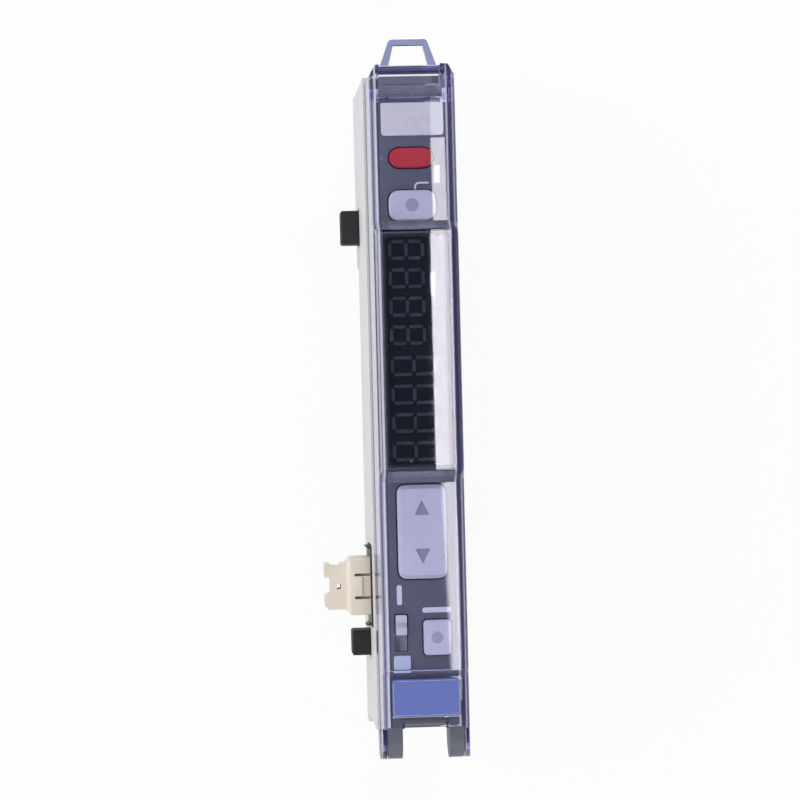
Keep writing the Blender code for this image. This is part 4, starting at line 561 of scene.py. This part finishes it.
def displayFace(name, setup):
    # dark face whose raised bars are a dull grey, picked out by their height
    material, tree, shader = newMaterial(name)
    above = tree.nodes.new("ShaderNodeMath")
    above.operation = "GREATER_THAN"
    above.inputs[1].default_value = setup["barHeight"]
    tree.links.new(placeOnPart(tree)["Z"], above.inputs[0])
    cloud = grain(tree, setup["cloudScale"], setup["cloudDetail"])
    dark, light = setup["darkUpTo"], setup["lightFrom"]
    bars = ramp(tree, cloud, [(dark, setup["barDark"]), (light, setup["barLight"])])
    face = ramp(tree, cloud, [(dark, setup["faceDark"]), (light, setup["faceLight"])])
    mix = tree.nodes.new("ShaderNodeMix")
    mix.data_type = "RGBA"
    tree.links.new(above.outputs[0], mix.inputs["Factor"])
    tree.links.new(face, mix.inputs["A"])
    tree.links.new(bars, mix.inputs["B"])
    tree.links.new(mix.outputs["Result"], shader.inputs["Base Color"])
    shader.inputs["Roughness"].default_value = setup["rough"]
    shader.inputs["Specular IOR Level"].default_value = setup["shine"]
    return material


# the amplifier's own finishes

finishes = {
    "coverClear": dyedCover("coverClear", coverTint),
    "windowSmoke": tintedClear("windowSmoke", windowTint)[0],
    "displayFace": displayFace("displayFace", displaySetup),
}
for name, looks in mouldings.items():
    finishes[name] = mouldedPlastic(name, *looks)
for name, looks in metals.items():
    finishes[name] = metalFinish(name, *looks)
for name, looks in films.items():
    finishes[name] = printedFilm(name, *looks)
print("finishes made:", len(finishes))

nodeFinish = {
    "rear_case": "whiteCase", "front_case": "greyPanel", "dust_cover": "coverClear",
    "type_plate": "bluePlate", "name_plate": "palePlate", "mark_plate": "markPlate",
    "display_window": "windowSmoke", "display_module": "displayFace", "indicator_lens": "redLens",
    "set_key": "keyGrey", "mode_key": "keyGrey", "rocker_key": "keyGrey", "selector_knob": "keyGrey",
    "main_board": "boardGreen", "display_board": "boardGreen", "board_connector": "blackMoulding",
    "controller_chip": "blackMoulding", "supply_capacitor": "brightSteel",
    "output_transistor": "blackMoulding", "receiver_shield": "brightSteel",
    "indicator_led": "diodeClear", "slide_switch": "greyPanel", "optical_block": "blackMoulding",
    "emitter_led": "diodeClear", "receiver_diode": "diodeClear", "fibre_gripper": "blackRubber",
    "fibre_lock_lever": "greyPanel", "lever_pin": "brightSteel", "expansion_plug": "ivoryPlug",
    "plug_surround": "blackMoulding", "expansion_socket": "blackMoulding",
    "upper_side_peg": "blackRubber", "lower_side_peg": "blackRubber", "cable_grommet": "blackRubber",
}
for name in ("set_switch", "mode_switch", "up_switch", "down_switch"):
    nodeFinish[name] = "blackMoulding"
for number in range(1, 5):
    nodeFinish["contact_pin_%d" % number] = "brassPin"


def dressNodes():
    for name, finish in nodeFinish.items():
        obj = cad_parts[name]
        obj.data.materials.clear()
        obj.data.materials.append(finishes[finish])


# thin printed pieces, and darker floors in the dimples as painted shade

inkThickness = 0.03 * mm
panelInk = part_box("name_plate")[0].z - 0.03 * mm        # where print on the dark panel lies
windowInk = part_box("display_window")[1].z + 0.01 * mm   # and where print on the display window does


def arcPoints(center, radius, start, end, steps):
    points = []
    for i in range(steps + 1):
        angle = math.radians(start + (end - start) * i / steps)
        points.append((center[0] + radius * math.cos(angle), center[1] + radius * math.sin(angle)))
    return points


def roundedOutline(low, high, corner, steps=6):
    left, right = low[0] + corner, high[0] - corner
    front, back = low[1] + corner, high[1] - corner
    points = []
    for center, start in (((right, back), 0), ((left, back), 90), ((left, front), 180),
                          ((right, front), 270)):
        points += arcPoints(center, corner, start, start + 90, steps)
    return points


def lineOutline(points, width):
    # the outline of a line of this width drawn through the points
    left, right = [], []
    for i, point in enumerate(points):
        before = points[max(i - 1, 0)]
        after = points[min(i + 1, len(points) - 1)]
        along = Vector((after[0] - before[0], after[1] - before[1])).normalized()
        side = Vector((-along.y, along.x)) * width / 2
        left.append((point[0] + side.x, point[1] + side.y))
        right.append((point[0] - side.x, point[1] - side.y))
    return left + right[::-1]


def addRing(bm, outline, height):
    return [bm.verts.new((x, y, height)) for x, y in outline]


def joinRings(bm, first, second):
    count = len(first)
    for i in range(count):
        after = (i + 1) % count
        bm.faces.new((first[i], first[after], second[after], second[i]))


def addPiece(name, bm, finish, body):
    bmesh.ops.recalc_face_normals(bm, faces=bm.faces)
    mesh = bpy.data.meshes.new(name)
    bm.to_mesh(mesh)
    bm.free()
    mesh.materials.append(finishes[finish])
    obj = bpy.data.objects.new(name, mesh)
    bpy.context.collection.objects.link(obj)
    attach(obj, body)


def flatPiece(name, outline, base, thickness, finish, body):
    bm = bmesh.new()
    low = addRing(bm, outline, base)
    high = addRing(bm, outline, base + thickness)
    joinRings(bm, low, high)
    bm.faces.new(low[::-1])
    bm.faces.new(high)
    addPiece(name, bm, finish, body)


leaderLine = {"fromMiddle": 0.35 * mm, "overlap": 0.1 * mm, "stem": 0.25 * mm, "turn": 0.45 * mm,
              "run": 1.0 * mm, "width": 0.18 * mm}


def makeLeaderLine(setup):
    # the thin line that leads from the key by the display up to its mark
    low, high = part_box("set_key")
    x = (low.x + high.x) / 2 + setup["fromMiddle"]
    y = high.y - setup["overlap"]
    turn = setup["turn"]
    bendY = y + setup["stem"]
    points = [(x, y), (x, bendY)]
    points += arcPoints((x + turn, bendY), turn, 180, 90, 8)
    points.append((x + turn + setup["run"], bendY + turn))
    flatPiece("leader_line", lineOutline(points, setup["width"]), panelInk, inkThickness,
              "printedWhite", "housing")


plateLine = {"inset": 0.12 * mm, "width": 0.05 * mm, "corner": 0.42 * mm, "lift": 0.005 * mm}


def makePlateLine(setup):
    # the thin pale frame line near the blue plate's edge, as a closed band
    low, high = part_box("type_plate")
    inset, width = setup["inset"], setup["width"]
    outer = roundedOutline((low.x + inset, low.y + inset), (high.x - inset, high.y - inset),
                           setup["corner"])
    inner = roundedOutline((low.x + inset + width, low.y + inset + width),
                           (high.x - inset - width, high.y - inset - width),
                           setup["corner"] - width)
    base = high.z + setup["lift"]
    top = base + inkThickness
    bm = bmesh.new()
    rings = [addRing(bm, outer, base), addRing(bm, outer, top),
             addRing(bm, inner, top), addRing(bm, inner, base)]
    for ring, after in zip(rings, rings[1:] + rings[:1]):
        joinRings(bm, ring, after)
    addPiece("plate_line", bm, "plateRim", "cover")


rockerMarks = {
    "tipInset": 1.68 * mm, "length": 1.44 * mm, "width": 1.42 * mm,
    "recess": 0.15 * mm, "lift": 0.01 * mm, "thickness": 0.04 * mm,
    "ribInset": 1.28 * mm, "ribLength": 2.2 * mm, "ribWidth": 0.13 * mm,
    "ribLift": 0.005 * mm, "ribThickness": 0.02 * mm,
}


def makeRockerMarks(setup):
    # arrows that lie in the key's two shallow recesses, and a fine rib past each tip
    low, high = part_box("rocker_key")
    midX, midY = (low.x + high.x) / 2, (low.y + high.y) / 2
    halfLength = (high.y - low.y) / 2
    halfArrow, halfRib = setup["width"] / 2, setup["ribLength"] / 2
    for direction, name in ((1, "up"), (-1, "down")):
        tip = midY + direction * (halfLength - setup["tipInset"])
        base = tip - direction * setup["length"]
        arrow = [(midX - halfArrow, base), (midX + halfArrow, base), (midX, tip)]
        flatPiece("arrow_" + name, arrow, high.z - setup["recess"] + setup["lift"],
                  setup["thickness"], "arrowGrey", "rocker")
        ribY = midY + direction * (halfLength - setup["ribInset"])
        rib = lineOutline([(midX - halfRib, ribY), (midX + halfRib, ribY)], setup["ribWidth"])
        flatPiece("rib_" + name, rib, high.z + setup["ribLift"], setup["ribThickness"],
                  "ribGrey", "rocker")


dimpleSetup = {
    "dimples": {"set_key": ("set_button", 0.70 * mm), "mode_key": ("mode_button", 0.64 * mm)},
    "depth": 0.15 * mm, "edge": 0.08 * mm, "lift": 0.01 * mm, "thickness": 0.02 * mm, "sides": 24,
}


def makeDimpleShade(setup):
    # painted shade: a slightly darker floor in the round dimple of each push key
    steps = setup["sides"] - 1
    lastAngle = 360 * steps / setup["sides"]
    for key, (body, radius) in setup["dimples"].items():
        low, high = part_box(key)
        middle = ((low.x + high.x) / 2, (low.y + high.y) / 2)
        rim = arcPoints(middle, radius - setup["edge"], 0, lastAngle, steps)
        flatPiece(key.replace("key", "dimple"), rim, high.z - setup["depth"] + setup["lift"],
                  setup["thickness"], "dimpleGrey", body)


# plain printed bars by the keys and on the display window; place and size are in mm
plainMarks = {
    "set_mark": {"place": (2.5, 25.3), "size": (0.6, 1.9), "base": panelInk},
    "selector_mark": {"place": (-2.55, -19.1), "size": (0.55, 2.1), "base": panelInk},
    "mode_mark": {"place": (1.35, -20.75), "size": (3.0, 0.55), "base": panelInk},
    "display_mark": {"place": (1.62, 13.6), "size": (0.5, 2.6), "base": windowInk},
}
markCorner = 0.2 * mm


def makePlainMarks():
    for name, mark in plainMarks.items():
        x, y = mark["place"]
        width, length = mark["size"]
        outline = roundedOutline(((x - width / 2) * mm, (y - length / 2) * mm),
                                 ((x + width / 2) * mm, (y + length / 2) * mm), markCorner, 4)
        flatPiece(name, outline, mark["base"], inkThickness, "printedWhite", "housing")


makeCamera(cameraSetup)
makeLamps()
makeGaps()
makeWorld(tentSetup)
makeStage(floorSetup)
print("camera, lamps and floor made")
dressNodes()
print("nodes dressed")
makeLeaderLine(leaderLine)
makePlateLine(plateLine)
makeRockerMarks(rockerMarks)
makeDimpleShade(dimpleSetup)
makePlainMarks()
print("printed marks made")

bpy.context.scene.view_settings.view_transform = "Standard"
